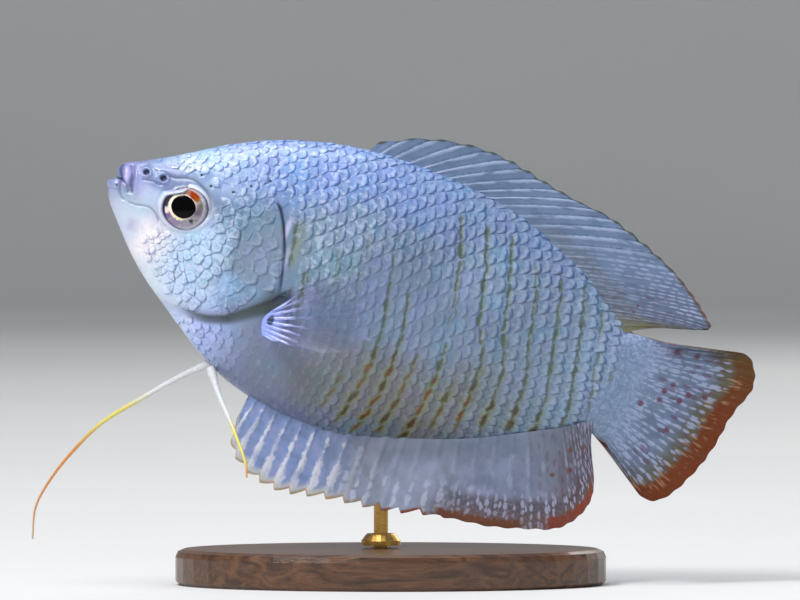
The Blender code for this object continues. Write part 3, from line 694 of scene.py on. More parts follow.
def disc():
    """A head plate, as plate() gives a scale. Its own reach stretches it in each direction."""
    rings = np.array([(s * math.cos(a), s * math.sin(a), 0.0, s * (0.66 + 0.34 * math.cos(a + 0.7)))
                      for s in SHARES for a in turns(SPOKES)])
    count = len(rings)
    ring = np.arange(count).reshape(-1, SPOKES)
    rim, under = ring[-1, ::-1], count + np.arange(SPOKES)
    lower = rings[rim] * (0.96, 0.96, 0.0, 1.0) + (0.0, 0.0, 1.0, 0.0)
    points = np.concatenate((rings, lower, [(0.0, 0.0, 0.0, 0.0), (0.0, 0.0, 1.0, 0.0)]))
    quads = tube(len(SHARES), SPOKES)[0]
    sides = np.stack((rim, under, np.roll(under, -1), np.roll(rim, -1)), -1)
    below = np.stack((under, np.full(SPOKES, count + SPOKES + 1), np.roll(under, -1)), -1)
    above = np.stack((np.full(SPOKES, count + SPOKES), np.roll(ring[0], -1), ring[0]), -1)
    maps = solid_map(points, rim, under, (quads, sides, below, above))
    return points, (quads, sides, np.concatenate((below, above))), (
        maps[0], maps[1], np.concatenate((maps[2] + UNDER_OFF, maps[3])))


def plate():
    """A scale from -1 to 1 along and across: its points, faces and their map, as closed solids.

    A point is along, across, which share of the thickness it lies down, and how near the rear
    edge it is.
    """
    steps = np.linspace(-1.0, 1.0, PLATE_STEPS + 1)
    along, across = np.meshgrid(steps, steps, indexing="ij")
    rear, front = 1 - np.where(across > 0, *DRAWN_IN) * across ** 2, 1 - 0.2 * across ** 2
    x, z = along * np.where(along > 0, rear, front), across * (1 - 0.12 * along ** 4)
    number = np.arange(along.size).reshape(along.shape)
    rim = np.concatenate((number[0, :-1], number[:-1, -1], number[-1, :0:-1], number[:0:-1, 0]))
    count = len(rim)
    under = along.size + np.arange(count)
    sides = np.stack((rim, under, np.roll(under, -1), np.roll(rim, -1)), -1)
    below = np.stack((under, np.full(count, along.size + count), np.roll(under, -1)), -1)
    top = np.column_stack((x.ravel(), z.ravel(), np.zeros(along.size), along.ravel()))
    lower = np.column_stack((top[rim, :2] * 0.985, np.ones(count), top[rim, 3]))
    points = np.concatenate((top, lower, [(0.0, 0.0, 1.0, 0.0)]))
    faces = grid_quads(number), sides, below
    maps = solid_map(points, rim, under, faces)
    return points, faces, (maps[0], maps[1], maps[2] + UNDER_OFF)


def make_scales(name, u, z, side, length, width, lift, turn, shade, look, dome=0.04, sink=0.09,
                reach=None):
    """Many scales as one mesh: their unrolled places, sizes, and values of their own.

    lift is how far the rear edge stands over the front one. turn is each scale's twist. With
    reach they are head plates, and it gives their edge's distance in each direction.
    """
    points, shapes, maps = plate() if reach is None else disc()
    a, b, down, rearward = points.T
    count, each = len(u), len(points)
    bulge = dome * (1 - b ** 2 - (0 if reach is None else a ** 2))
    x, across = a * length[:, None] / 2, b * width[:, None] / 2
    if reach is not None:
        spoke = np.round(np.arctan2(b, a) / math.tau * SPOKES).astype(int) % SPOKES
        x, across = a * reach[:, spoke], b * reach[:, spoke]
    cosine, sine = np.cos(turn)[:, None], np.sin(turn)[:, None]
    at_u = u[:, None] + x * cosine - across * sine
    at_z = z[:, None] + x * sine + across * cosine
    angle, _ = unrolled(at_u, at_z, np.repeat(side[:, None], each, axis=1))
    plain = on_body(at_u, angle)
    at_w = plain[..., 2]
    rise, dark = relief(at_u.ravel(), at_w.ravel())
    still = calm(at_u, at_w)
    height = (lift[:, None] * (a + 1) / 2 + bulge) * (1 - still)
    height -= sink * (1 - 0.8 * still * ease(a, -0.2, 0.6))
    height -= EDGE_THIN * ease(rearward, 0.8, 1.0) + PLATE_THICKNESS * down
    coat = COAT * ease(at_u, COAT_FROM, COAT_FULL)
    placed = plain + normals(at_u, angle) * (height + rise.reshape(at_u.shape) - coat)[..., None]
    placed = placed.reshape(-1, 3)

    starts = (np.arange(count) * each)[:, None, None]
    faces, corners = [], []
    roots = np.column_stack((u / MAP_LENGTH, unrolled(u, z, side)[1]))[:, None, None]
    for face, flat in zip(shapes, maps):
        for chosen, order in ((side < 0, 1), (side > 0, -1)):
            if chosen.any():
                faces.append((face[:, ::order] + starts[chosen]).reshape(-1, face.shape[1]))
                corners.append((roots[chosen] + PATCH * flat[:, ::order]).reshape(-1, 2))
    values = flesh_values(placed, at_u.ravel(), at_w.ravel(), at_z.ravel(),
                          np.repeat(shade, each, axis=0), np.tile(rearward, count), dark)
    made = add_mesh(name, placed, faces, look, values, np.concatenate(corners))


# The front edge of the trunk's and nape's scales, from the back down to the belly: u and w
SCALES_FROM = ((8.3, 9.0), (8.9, 6.8), (10.3, 5.2), (12.0, 4.0), (13.6, 3.5), (15.4, 3.9),
               (17.4, 5.3), (19.2, 5.2), (20.7, 3.2), (21.8, 0.9), (22.6, -1.5), (23.2, -3.8),
               (23.6, -5.4), (22.6, -7.4), (20.4, -8.9), (18.6, -10.1), (16.4, -10.9),
               (14.2, -11.1), (11.6, -10.7), (11.2, -17.0))
SCALES_TO = 62.3
CHEEK = ((7.3, -3.2), (8.4, -3.0), (10.1, -2.9), (11.2, -2.2), (12.0, -0.6), (12.1, 1.5),
         (11.9, 2.8), (13.3, 3.3), (15.0, 3.8), (16.8, 4.6), (18.0, 4.2), (19.0, 3.0),
         (19.9, 1.2), (20.6, -0.9), (21.2, -3.0), (21.5, -4.6), (20.6, -6.0), (19.2, -7.4),
         (17.7, -8.8), (15.8, -9.8), (13.6, -10.1), (11.9, -10.0), (9.8, -9.2), (8.0, -7.8),
         (6.4, -6.0), (5.6, -4.6), (6.2, -3.6))
FOREHEAD = ((4.6, 3.3), (6.0, 5.0), (8.3, 6.8), (9.4, 6.6), (10.6, 5.2), (12.3, 4.2),
            (12.2, 3.6), (10.8, 3.9), (9.0, 4.3), (7.0, 3.9), (5.6, 3.4))


def inside(outline, u, w):
    """True for the places inside a closed outline."""
    found = np.zeros(u.shape, bool)
    corners = np.array(outline, float)
    for (u0, w0), (u1, w1) in zip(corners, np.roll(corners, -1, axis=0)):
        crosses = (w0 > w) != (w1 > w)
        found ^= crosses & (u < (u1 - u0) * (w - w0) / (w1 - w0 + 1e-12) + u0)
    return found


def shades(count, spread):
    """A slight change of brightness and hue for each scale."""
    bright = 1 + spread * RANDOM.standard_normal((count, 1))
    hue = 0.35 * spread * RANDOM.standard_normal((count, 3))
    return np.clip(bright + hue, 0.6, 1.4)


def trunk_scales(look):
    """The rows of scales on trunk, nape and tail stalk, each side a piece, rear half apart."""
    columns, rows = np.meshgrid(np.arange(-28, 22) / 2, np.arange(-15, 16), indexing="ij")
    rows = rows + 0.5 * (np.round(columns * 2).astype(int) % 2)
    columns, rows = columns.ravel(), rows.ravel()
    u, z = lattice_place(columns, rows)
    region = SCALES_FROM + ((11.2, -40.0), (90.0, -40.0), (90.0, 40.0), (8.3, 40.0))
    flank_w = on_body(u, unrolled(u, z, np.full(u.shape, -1))[0])[:, 2]
    keep = inside(region, u, flank_w) & (u < SCALES_TO)
    keep &= (z < length_above(u) - 0.1) & (z > 0.25 - length_below(u))
    columns, rows, u, z = (value[keep] for value in (columns, rows, u, z))
    ahead = lattice_place(columns + 0.5, rows)[0] - u
    above = lattice_place(columns, rows + 0.5)[1] - lattice_place(columns, rows - 0.5)[1]
    small = np.clip(ahead / 1.25, 0.6, 1.1)
    uneven = 0.05 + 0.1 * ease(-u, -24.0, -17.0) + 0.07 * ease(z / length_above(u), 0.55, 0.9)
    count = len(u)
    for name, side in SIDES:
        def loose(spread):
            """A random number for each scale."""
            return spread * RANDOM.standard_normal(count)

        values = dict(
            u=u + loose(uneven), z=z + loose(uneven), side=np.full(count, side),
            length=LONG * ahead * (1 + loose(0.03)), width=WIDE * above * (1 + loose(0.03)),
            lift=LIFT * small * (1 + loose(0.15)), turn=loose(1.4 * uneven),
            shade=shades(count, 0.045))
        for part, chosen in (("front", u < REAR_FROM), ("rear", u >= REAR_FROM)):
            make_scales(f"scales_{name}_{part}", look=look,
                        **{key: value[chosen] for key, value in values.items()})


REACH_FRONT, REACH_REAR = 0.98, 1.1  # how far a head plate reaches towards the next one's border
LONGEST = 0.95  # its longest reach, as a share of the plates' distance


def plate_field(name, outline, step, grow, uneven, lift, dome, look):
    """Close-set uneven plates on each side of the head, both sides as one piece.

    step is their distance, and grow how much larger they get towards the rear.
    """
    corners = np.array(outline)
    middle = (corners.min(0) + corners.max(0)) / 2
    rows, columns = np.meshgrid(np.arange(-14, 15), np.arange(-14, 15), indexing="ij")
    places = np.stack(((columns + 0.5 * (rows % 2)).ravel(), 0.87 * rows.ravel()), -1) * step
    places += RANDOM.uniform(-uneven, uneven, places.shape) * step
    size = np.clip(1 + grow * places[:, :1], 0.5, 1.6)
    places = middle + places * np.column_stack(((1 + size) / 2, size))
    near = (np.abs(places - middle) < (corners.max(0) - middle + 2.5)).all(1)
    near &= (places[:, 1] < back(places[:, 0]) - 0.1) & (places[:, 1] > belly(places[:, 0]) + 0.1)
    u, w = places[near].T
    z = length_above(u) - unrolled_length(u[:, None], angle_at(u, w)[:, None])[:, 0]
    apart_u, apart_z = (value[None] - value[:, None] for value in (u, z))
    turn = turns(SPOKES)
    ahead = apart_u[..., None] * np.cos(turn) + apart_z[..., None] * np.sin(turn)
    half = (apart_u ** 2 + apart_z ** 2)[..., None] / 2 / np.where(ahead > 1e-6, ahead, 1e-6)
    reach = np.minimum(np.where(ahead > 1e-6, half, 99.0).min(1), LONGEST * step * size[near])
    reach *= REACH_FRONT + (REACH_REAR - REACH_FRONT) * np.clip(np.cos(turn + 0.7), 0.0, 1.0)
    keep = inside(outline, u, w)
    u, z, reach = (np.concatenate((value[keep], value[keep])) for value in (u, z, reach))
    count = len(u)
    side, whole = np.repeat((-1, 1), count // 2), np.full(count, 2.0)
    make_scales(name, u, z, side, whole, whole, lift * (1 + 0.4 * RANDOM.standard_normal(count)),
                0.08 * RANDOM.standard_normal(count), shades(count, 0.05), look, dome, 0.07, reach)


# ---------------------------------------------------------------- node materials

class Wire:
    """A node's output. Arithmetic on it adds nodes, and | gives the larger of two."""

    def __init__(self, graph, socket):
        self.graph, self.socket = graph, socket

    def __add__(self, other):
        return self.graph.math("ADD", self, other)

    def __sub__(self, other):
        return self.graph.math("SUBTRACT", self, other)

    def __rsub__(self, other):
        return self.graph.math("SUBTRACT", other, self)

    def __mul__(self, other):
        return self.graph.math("MULTIPLY", self, other)

    def __truediv__(self, other):
        return self.graph.math("DIVIDE", self, other)

    def __or__(self, other):
        return self.graph.math("MAXIMUM", self, other)

    def __abs__(self):
        return self.graph.math("ABSOLUTE", self)

    __radd__, __rmul__ = __add__, __mul__

    def ease(self, low, high, start=0.0, end=1.0):
        """start below low, end above high, smooth between them."""
        return self.graph.node("MapRange", inputs={
            "Value": self, "From Min": low, "From Max": high, "To Min": start, "To Max": end},
            interpolation_type="SMOOTHSTEP")

    def band(self, low, high, soft):
        """1 between low and high, 0 outside."""
        return self.ease(low - soft, low + soft) * self.ease(high + soft, high - soft)


class Graph:
    """Short calls that build one material's nodes.

    where is the place its patterns are laid by: the body's frame, or an object's own. colour is
    what the layers painted so far give. Colours are of 0 to 255.
    """

    def __init__(self, name, rides=True):
        self.material = bpy.data.materials.new(name)
        self.material.use_nodes = True
        self.tree = self.material.node_tree
        self.shader = self.tree.nodes["Principled BSDF"]
        self.where = self.attribute("body") if rides else self.node("TexCoord", "Object")

    def put(self, socket, value):
        """Links a socket, or sets its own value."""
        if isinstance(value, Wire):
            self.tree.links.new(value.socket, socket)
        elif socket.type == "RGBA":
            socket.default_value = (*srgb(*value), 1.0)
        else:
            socket.default_value = value

    def node(self, kind, output=0, inputs=None, **settings):
        """A node with its settings and inputs; gives one of its outputs."""
        made = self.tree.nodes.new("ShaderNode" + kind)
        for key, value in settings.items():
            setattr(made, key, value)
        for key, value in (inputs or {}).items():
            self.put(made.inputs[key], value)
        return Wire(self, made.outputs[output])

    def attribute(self, name, output="Vector"):
        return self.node("Attribute", output, attribute_name=name)

    def split(self, vector):
        """The three numbers of a vector."""
        outputs = self.node("SeparateXYZ", 0, {0: vector}).socket.node.outputs
        return [Wire(self, socket) for socket in outputs]

    def join(self, x, y, z=0.0):
        return self.node("CombineXYZ", inputs={0: x, 1: y, 2: z})

    def math(self, operation, a, b=0.0):
        return self.node("Math", inputs={0: a, 1: b}, operation=operation)

    def distance(self, a, b=(0.0, 0.0, 0.0)):
        return self.node("VectorMath", "Value", {0: a, 1: b}, operation="DISTANCE")

    def mix(self, share, a, b, blend="MIX"):
        return self.node("Mix", 2, {0: share, 6: a, 7: b}, data_type="RGBA", blend_type=blend)

    def paint(self, colour, share, blend="MIX"):
        """Lays a share of a colour over what is there."""
        self.colour = self.mix(share, self.colour, colour, blend)

    def noise(self, scale, detail=3.0, rough=0.5, where=None, distortion=0.0):
        return self.node("TexNoise", 0, {
            "Vector": where or self.where, "Scale": scale, "Detail": detail, "Roughness": rough,
            "Distortion": distortion})

    def wander(self, scale, reach):
        """Noise on both sides of 0."""
        return (self.noise(scale) - 0.5) * reach

    def cells(self, scale, feature):
        return self.node("TexVoronoi", 0, {"Vector": self.where, "Scale": scale}, feature=feature)

    def finish(self, roughness, height=None, bump=(0.0, 0.0), **sockets):
        """Fills the Principled node. height and bump give strength and distance of its relief."""
        if height:
            sockets["Normal"] = self.node("Bump", inputs={
                "Strength": bump[0], "Distance": bump[1], "Height": height})
        for key, value in dict(sockets, Base_Color=self.colour, Roughness=roughness).items():
            self.put(self.shader.inputs[key.replace("_", " ")], value)
        return self.material


# Painted shade: in creases, under the gill cover, and inside the nostrils and pores
CREASE_SHADE_COLOUR, GILL_SHADE_COLOUR, PIT_SHADE_COLOUR = (34, 46, 70), (44, 58, 50), (28, 38, 44)
EDGE_COLOUR = 146, 168, 204  # multiplies what is under it
LAVENDER, TEAL = (196, 176, 236), (120, 196, 206)
OLIVE, MOSS = (50, 72, 52), (74, 82, 18)
RUST, BROWN = (104, 44, 12), (58, 36, 14)
HALO = 128, 138, 76
DASH = 1.8  # length of a bar's dashes


def flesh_look(name):
    """Skin and scales: ground colour, scale edges, painted sheen and glints, bars, and painted
    shade in creases and pores.
    """
    g = Graph(name)
    u, _, w = g.split(g.where)
    along, still, dark = g.split(g.attribute("cell"))
    off, number, bar = g.split(g.attribute("bar"))
    g.colour = g.attribute("tint", "Color")
    cloud, fine = g.noise(0.28, 2.0), g.noise(2.6, 4.0, 0.65)
    g.paint(LAVENDER, cloud.ease(0.5, 0.68, 0.0, 0.3), "SOFT_LIGHT")
    g.paint(TEAL, cloud.ease(0.5, 0.34, 0.0, 0.3), "SOFT_LIGHT")
    scaled, shown = along.ease(-1.5, -1.1), 1 - still * 0.85
    g.paint(EDGE_COLOUR, fine.ease(0.54, 0.36) * shown * (0.1 + scaled * 0.4), "MULTIPLY")
    # painted glints: small highlights on the scales, fewer on the gill cover
    gill_cover = u.ease(14.5, 17.0) * u.ease(22.5, 20.5) * w.ease(5.0, 3.5)
    glint = g.noise(1.7, 2.0).ease(0.5, 0.66) * (0.2 + scaled * 0.8) * shown
    g.paint((216, 226, 250), glint * u.ease(36.0, 24.0, 0.12, 0.42) * (1 - gill_cover * 0.65))
    plates = g.cells(0.5, "DISTANCE_TO_EDGE").ease(0.1, 0.02)
    g.paint(EDGE_COLOUR, plates * w.ease(2.8, 4.2) * scaled.ease(1.0, 0.0) * 0.6, "MULTIPLY")

    ripple = along + g.wander(1.9, 0.3)
    g.paint(EDGE_COLOUR, ripple.ease(0.76, 0.9) * shown * 0.85, "MULTIPLY")
    # painted sheen: a pale band in the rear half of each scale, inside its dark rim
    g.paint((214, 228, 255), ripple.ease(0.3, 0.6) * ripple.ease(0.84, 0.66) * shown * 0.16)

    low, lowest = (w + g.noise(0.5) * 4.0).ease(-2.5, -5.5), w.ease(-5.5, -9.0)
    run = w / DASH + number * 0.731
    step = g.math("FRACT", run)
    from_middle = abs(step - 0.5)
    distance = off + g.wander(0.7, 0.8) + g.wander(2.2, 0.4)
    distance = distance - (step - 0.5) * (0.15 + lowest * 0.1)
    luck = g.noise(1.0, 1.0, where=g.join(number * 3.7, g.math("FLOOR", run) * 1.9))
    broken = luck.ease(0.28, 0.42) * step.ease(-0.05, 0.12) * step.ease(1.05, 0.88)
    broken = broken | g.noise(0.35).ease(0.48, 0.6, 0.0, 0.75) * lowest.ease(1.0, 0.0)
    half = 0.1 + from_middle.ease(0.5, 0.1) * (lowest * 0.1 + ((luck - 0.45) * 0.6 | -0.04))
    edge, strength = abs(distance) - half, bar * broken
    halo = edge.ease(0.55, 0.0) * strength * (distance.ease(-0.1, 0.15) | lowest)
    g.paint(HALO, halo * (0.45 + lowest * 0.3))
    core = g.mix(low, OLIVE, g.mix(luck.ease(0.42, 0.56), RUST, BROWN))
    g.paint(g.mix(from_middle.ease(0.2, 0.42) * low, core, MOSS),
            edge.ease(0.2, -0.14) * strength * (0.82 + low * 0.14))

    # painted shade in the head's creases, gill slit and eye socket, olive low under the gill cover
    g.paint(g.mix(w.ease(-5.0, -7.0) * u.ease(10.0, 13.0), CREASE_SHADE_COLOUR, GILL_SHADE_COLOUR),
            dark.ease(0.05, 0.95) * 0.92)
    # painted shade inside the nostrils and pores
    flat, spots = g.join(u, w), 0.0
    for *place, radius in NOSTRILS + PORES:
        spots = g.distance(flat, (*place, 0.0)).ease(1.25 * radius, 0.75 * radius) | spots
    g.paint(PIT_SHADE_COLOUR, spots * 0.88)
    height = g.noise(9.0) * 0.35 - g.cells(1.9, "SMOOTH_F1") * 0.5
    return g.finish(fine.ease(0.2, 0.8, 0.3, 0.46), height, (0.35, 0.00012), Coat_Weight=0.25,
                    Coat_Roughness=0.12, Specular_IOR_Level=0.6)


# ---------------------------------------------------------------- eyes

EYE_STEPS, EYE_SPOKES = 44, 112
EYE_DOME = 0.66  # how far its middle stands over its edge
EYE_EDGE = 2.35
EYE_REACH = 2.68
PUPIL_OFF = (-0.13, 0.08)  # the pupil's centre beside the eye's, along u and w
PUPIL, PUPIL_TALL = 1.42, 0.89
EYE_BACK = 2.0  # how far it reaches into the head
EYE_TURN_IN = 0.9  # how far its border dips into the socket


def make_eye(name, side, look):
    """A domed eye in its socket, its face square to the skin round it."""
    u, w = np.array([EYE_U]), np.array([EYE_W])
    angle = angle_at(u, w)
    if side > 0:
        angle = math.tau - angle
    centre, out = on_body(u, angle)[0], normals(u, angle)[0]
    ahead = np.array((1.0, 0.0, 0.0)) - out * out[0]
    ahead /= np.linalg.norm(ahead)
    up = np.cross(ahead, out)
    up *= np.sign(up[2])
    reach = np.linspace(0.0, 1.0, EYE_STEPS + 1)[1:] * EYE_REACH
    curve = (EYE_EDGE ** 2 + EYE_DOME ** 2) / (2 * EYE_DOME)
    height = np.sqrt(curve ** 2 - reach ** 2) - (curve - EYE_DOME)
    height -= EYE_TURN_IN * ease(reach, EYE_EDGE - 0.05, EYE_REACH)
    turn = turns(EYE_SPOKES)
    rings = reach[:, None, None] * spokes(turn, ahead, up) + height[:, None, None] * out
    flat = reach[:, None, None] * spokes(turn, np.array((1.0, 0.0, 0.0)), np.array((0.0, 1.0, 0.0)))
    points = np.concatenate((rings.reshape(-1, 3), [EYE_DOME * out, -EYE_BACK * out])) + centre
    faces = [face[:, ::-side] for face in tube(EYE_STEPS, EYE_SPOKES)]
    made = add_mesh(name, points, faces, look, {
        "iris": np.concatenate((flat.reshape(-1, 3), [(0.0, 0.0, 0.0), (9.0, 0.0, 0.0)])),
        "body": body_values(points),
    }, sharp=None)
    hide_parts(name.replace("visible_", ""))


# Patches of the iris: place and size, red, green, blue. The dark brown ones at its front, towards
# the top, are painted shadow of the lid.
IRIS_PATCHES_AND_LID_SHADOW = ((-1.5, 1.15, 0.8, 96, 76, 80), (-2.1, 0.35, 0.75, 66, 48, 56),
                (-2.3, -0.2, 0.7, 58, 44, 60), (-1.5, -1.35, 0.6, 116, 96, 150),
                (-1.85, -0.95, 0.5, 244, 214, 222), (-0.5, -1.9, 0.8, 146, 132, 168),
                (1.0, -1.75, 0.7, 160, 156, 176), (1.5, 0.2, 0.8, 112, 100, 120),
                (1.75, 0.9, 0.6, 116, 112, 100), (0.35, 2.4, 0.45, 232, 160, 204),
                (1.0, 1.45, 0.45, 150, 116, 12), (-0.5, 1.75, 0.6, 150, 110, 84))


def eye_look():
    """Black pupil, cream-gold ring, and an iris that is pink in front, red above, silver behind."""
    g = Graph("eye")
    iris = g.attribute("iris")
    x, z, _ = g.split(iris)
    from_pupil = g.join(x - PUPIL_OFF[0], (z - PUPIL_OFF[1]) / PUPIL_TALL)
    reach, out = g.distance(from_pupil) + g.wander(1.6, 0.14), g.distance(iris)
    streak = g.noise(9.0, where=g.join(g.math("ARCTAN2", z, x), reach * 0.3))
    flecks = g.noise(4.5, 4.0, 0.7)

    def near(place, size):
        """1 at a place on the iris, 0 a size away."""
        distance = g.distance(iris, (*place, 0.0)) + flecks * 0.3
        return distance.ease(size + 0.15, 0.35 * size + 0.15)

    g.colour = g.mix(streak.ease(0.35, 0.7), (142, 134, 142), (182, 176, 186))
    for place_x, place_z, size, *colour in IRIS_PATCHES_AND_LID_SHADOW:
        g.paint(colour, near((place_x, place_z), size))
    g.paint(g.mix(flecks.ease(0.46, 0.62), (140, 44, 4), (176, 84, 30)), near((0.5, 1.75), 1.0))
    g.paint((46, 58, 44), near((1.25, -1.05), 0.34) * 0.9)
    wide = 0.06 + (x + z * 0.5).ease(0.3, -1.3) * 0.26 + (flecks - 0.5) * 0.5
    gold = reach.ease(PUPIL - 0.02, PUPIL + 0.05) * (reach - wide).ease(PUPIL + 0.12, PUPIL - 0.08)
    gap = x.ease(0.5, 1.1) * z.ease(0.55, 0.1)
    gold_colour = g.mix(x.ease(0.6, 1.5), (255, 246, 220), (236, 204, 196))
    gold_colour = g.mix(z.ease(-0.6, -1.2) * 0.4, gold_colour, (232, 210, 140))
    g.paint(gold_colour, gold * (1 - gap * 0.85))
    g.paint((5, 4, 5), reach.ease(PUPIL + 0.04, PUPIL - 0.04))
    g.paint((196, 196, 210), out.ease(EYE_EDGE - 0.34, EYE_EDGE - 0.2) * x.ease(-0.8, 0.6) * 0.6)
    # painted shade where the eye's border dips into its socket, strongest in front
    g.paint((60, 66, 92), out.ease(EYE_EDGE - 0.14, EYE_EDGE) * x.ease(1.2, 0.2, 0.1, 0.75))
    return g.finish(reach.ease(PUPIL - 0.05, PUPIL + 0.05, 0.12, 0.35), streak, (0.2, 0.00005),
                    Coat_Weight=0.05, Coat_Roughness=0.05, Specular_IOR_Level=0.08)


# ---------------------------------------------------------------- fins

DORSAL_RAYS = ((25.4, 26.4, 15.0), (27.6, 30.8, 17.2), (30.2, 35.6, 18.4), (32.4, 39.6, 18.6),
               (34.8, 42.8, 18.2), (37.5, 46.1, 17.6), (40.0, 49.5, 17.1), (43.4, 53.2, 16.8),
               (46.2, 56.4, 16.0), (48.8, 59.6, 14.9), (51.2, 62.6, 13.6), (53.4, 65.2, 12.1),
               (55.2, 67.0, 10.8), (56.8, 68.4, 9.4), (58.3, 66.3, 8.4), (59.6, 63.2, 7.4))
ANAL_RAYS = ((23.4, 23.1, -19.6), (24.8, 23.6, -22.8), (26.5, 25.8, -24.5), (28.6, 28.2, -25.3),
             (30.8, 30.8, -25.4), (33.2, 33.4, -24.8), (36.0, 36.4, -24.1), (39.0, 39.5, -23.6),
             (42.0, 42.6, -23.0), (45.0, 46.2, -21.9), (48.0, 49.9, -21.0), (51.0, 53.7, -20.3),
             (53.6, 57.4, -19.1), (55.8, 60.6, -17.8), (57.4, 62.4, -15.8), (58.5, 63.1, -13.4),
             (59.3, 62.5, -10.9), (60.0, 60.9, -8.2))
CAUDAL_RAYS = ((5.6, 64.6, 6.1), (5.2, 68.3, 6.9), (4.7, 72.6, 8.2), (4.1, 74.1, 7.6),
               (3.3, 75.0, 6.0), (2.4, 75.1, 4.4), (1.4, 74.5, 2.6), (0.4, 74.0, 0.6),
               (-0.7, 73.8, -1.4), (-1.7, 73.4, -3.6), (-2.7, 72.9, -5.4), (-3.6, 72.1, -7.4),
               (-4.4, 71.2, -9.2), (-5.0, 69.8, -10.7), (-5.4, 68.0, -10.8), (-5.7, 66.0, -9.4),
               (-5.8, 63.8, -8.0), (-5.9, 62.4, -6.9))
PECTORAL_U, PECTORAL_W = 22.4, -8.3
PECTORAL_RAYS = ((0.5, 1.3, 2.6), (0.42, 3.2, 5.6), (0.3, 6.2, 7.2), (0.15, 9.2, 7.0),
                 (0.0, 11.4, 5.2), (-0.15, 12.2, 2.8), (-0.3, 11.2, 0.8), (-0.5, 7.6, -0.7),
                 (-0.7, 4.0, -1.3), (-0.85, 1.4, -1.6))
PECTORAL_SPREAD = math.radians(20.0)
PECTORAL_CURL = 0.6
PECTORAL_OFF = 0.8


def fin_sheet(name, root, tip, rays, spines, rows, shape, look, per_ray=10, place=None):
    """A fin as a thin closed sheet with its rays standing out on both faces.

    root and tip are u and w arrays over the fin, spines the share of its rays from the front
    that are spines. shape holds sizes: membrane and ray half thickness, the fleshy root's, how
    far that reaches, the notch behind a spine, the sweep sideways and the ripple. bow is how far
    the rays bend, crowd how much closer they stand at the rear, blunt a rounded root's length,
    taper how a fleshy root thins towards the fin's edges.
    """
    columns = (rays - 1) * per_ray + 1
    share = np.linspace(0.0, 1.0, columns)
    ray = share * (rays - 1)
    t = share * (1 + shape["crowd"] * (1 - share))
    start, end = root(t), tip(t)
    length = np.linalg.norm(end - start, axis=1)
    out = np.linspace(0.0, 1.0, rows + 1)[None, :]
    spiny = (1 - ease(t, spines - 0.04, spines + 0.04))[:, None]
    behind = np.maximum(ray - np.floor(ray + 1e-9), 0.0)
    saw = np.where(behind < 0.8, (behind / 0.8) ** 1.4, (1 - behind) / 0.2)
    scallop = np.sin(math.pi * behind) ** 2
    notch = spiny[:, 0] * saw * shape["notch"] + (1 - spiny[:, 0]) * scallop * 0.14
    reach = out * (1 - notch / length)[:, None]
    flat = start[:, None] + (end - start)[:, None] * reach[..., None]
    aside = np.column_stack((start[:, 1] - end[:, 1], end[:, 0] - start[:, 0]))
    flat = flat + aside[:, None] * (shape["bow"] * reach * (1 - reach))[..., None]

    off = np.abs(ray - np.round(ray))[:, None]
    spine = bell(off, 0.15 - 0.05 * out) * (1 - 0.55 * out)
    branch = bell(off - 0.24 * ease(out, 0.25, 0.75), 0.085) * (1 - 0.6 * out) * 0.75
    from_root = reach * length[:, None]
    ridge = spiny * spine + (1 - spiny) * branch
    ridge = ridge * (1 - shape["taper"] * 1.7 * bell(from_root, 5.5, 4))
    fleshy = shape["root"] * bell(from_root, shape["root_reach"], 1.5)
    fleshy = fleshy * (np.abs(np.sin(math.pi * t)) ** shape["taper"])[:, None]
    half = shape["membrane"] * (1 - 0.45 * out) + shape["ray"] * ridge + fleshy
    half = half * np.where(out >= 0.999, 0.45, 1.0)
    if shape["blunt"]:
        half = half * np.sqrt(np.clip(from_root / shape["blunt"], 0.04, 1.0))
    wave = np.sin(1.7 * ray[:, None] + 2.5 * out) + 0.6 * np.cos(3.1 * ray[:, None] - 2.0 * out)
    sweep = shape["sweep"](t[:, None], out) + shape["ripple"] * out * wave

    def both(*values):
        """Values over the sheet, on its two faces."""
        values = np.stack(np.broadcast_arrays(*values, ridge)[:-1], -1)
        return np.concatenate([values.reshape(-1, len(values[0, 0]))] * 2)

    sheets = [np.stack((flat[..., 0], sweep + side * half, flat[..., 1]), -1) for side in (-1, 1)]
    points = np.concatenate([sheet.reshape(-1, 3) for sheet in sheets])
    points = place(points) if place else points
    number = np.arange(ridge.size).reshape(ridge.shape)
    quads = grid_quads(number)
    rim = np.concatenate((number[:-1, 0], number[-1, :-1], number[:0:-1, -1], number[0, :0:-1]))
    other = number.size
    edge = np.stack((rim, np.roll(rim, -1), np.roll(rim, -1) + other, rim + other), -1)
    sheet = np.concatenate((quads, quads[:, ::-1] + other, edge))
    if signed_volume(points, sheet) < 0:
        sheet = sheet[:, ::-1]
    made = add_mesh(name, points, [sheet], look, {
        "fin": both(ray[:, None], from_root, (1 - out) * length[:, None]),
        "ridge": both(ridge)[:, 0],
        "place": both(t[:, None], out, 0.0),
        "body": points,
    })
    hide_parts(name.replace("visible_", ""))
    return made


def signed_volume(points, quads):
    """The volume inside faces that point out, below 0 if they point in."""
    a, b, c, d = (points[quads[:, i]] for i in range(4))
    return (np.einsum("ij,ij->", a, np.cross(b, c)) + np.einsum("ij,ij->", a, np.cross(c, d))) / 6


FIN_SHAPE = {"membrane": 0.09, "ray": 0.13, "root": 0.45, "root_reach": 1.2, "notch": 0.75,
             "ripple": 0.05, "sweep": lambda t, out: 0.0 * t * out, "bow": 0.0, "crowd": 0.0,
             "blunt": 0.0, "taper": 0.0}
BURIED = 0.9  # a fin's root lies this far inside the body


def on_edge(fan, outline, deep):
    """A fin's root along the back or the belly, and its tips, as functions over the fin."""
    def root(t):
        u = fan(t)[:, 0]
        return np.column_stack((u, outline(u) + deep))
    return root, lambda t: fan(t)[:, 1:]


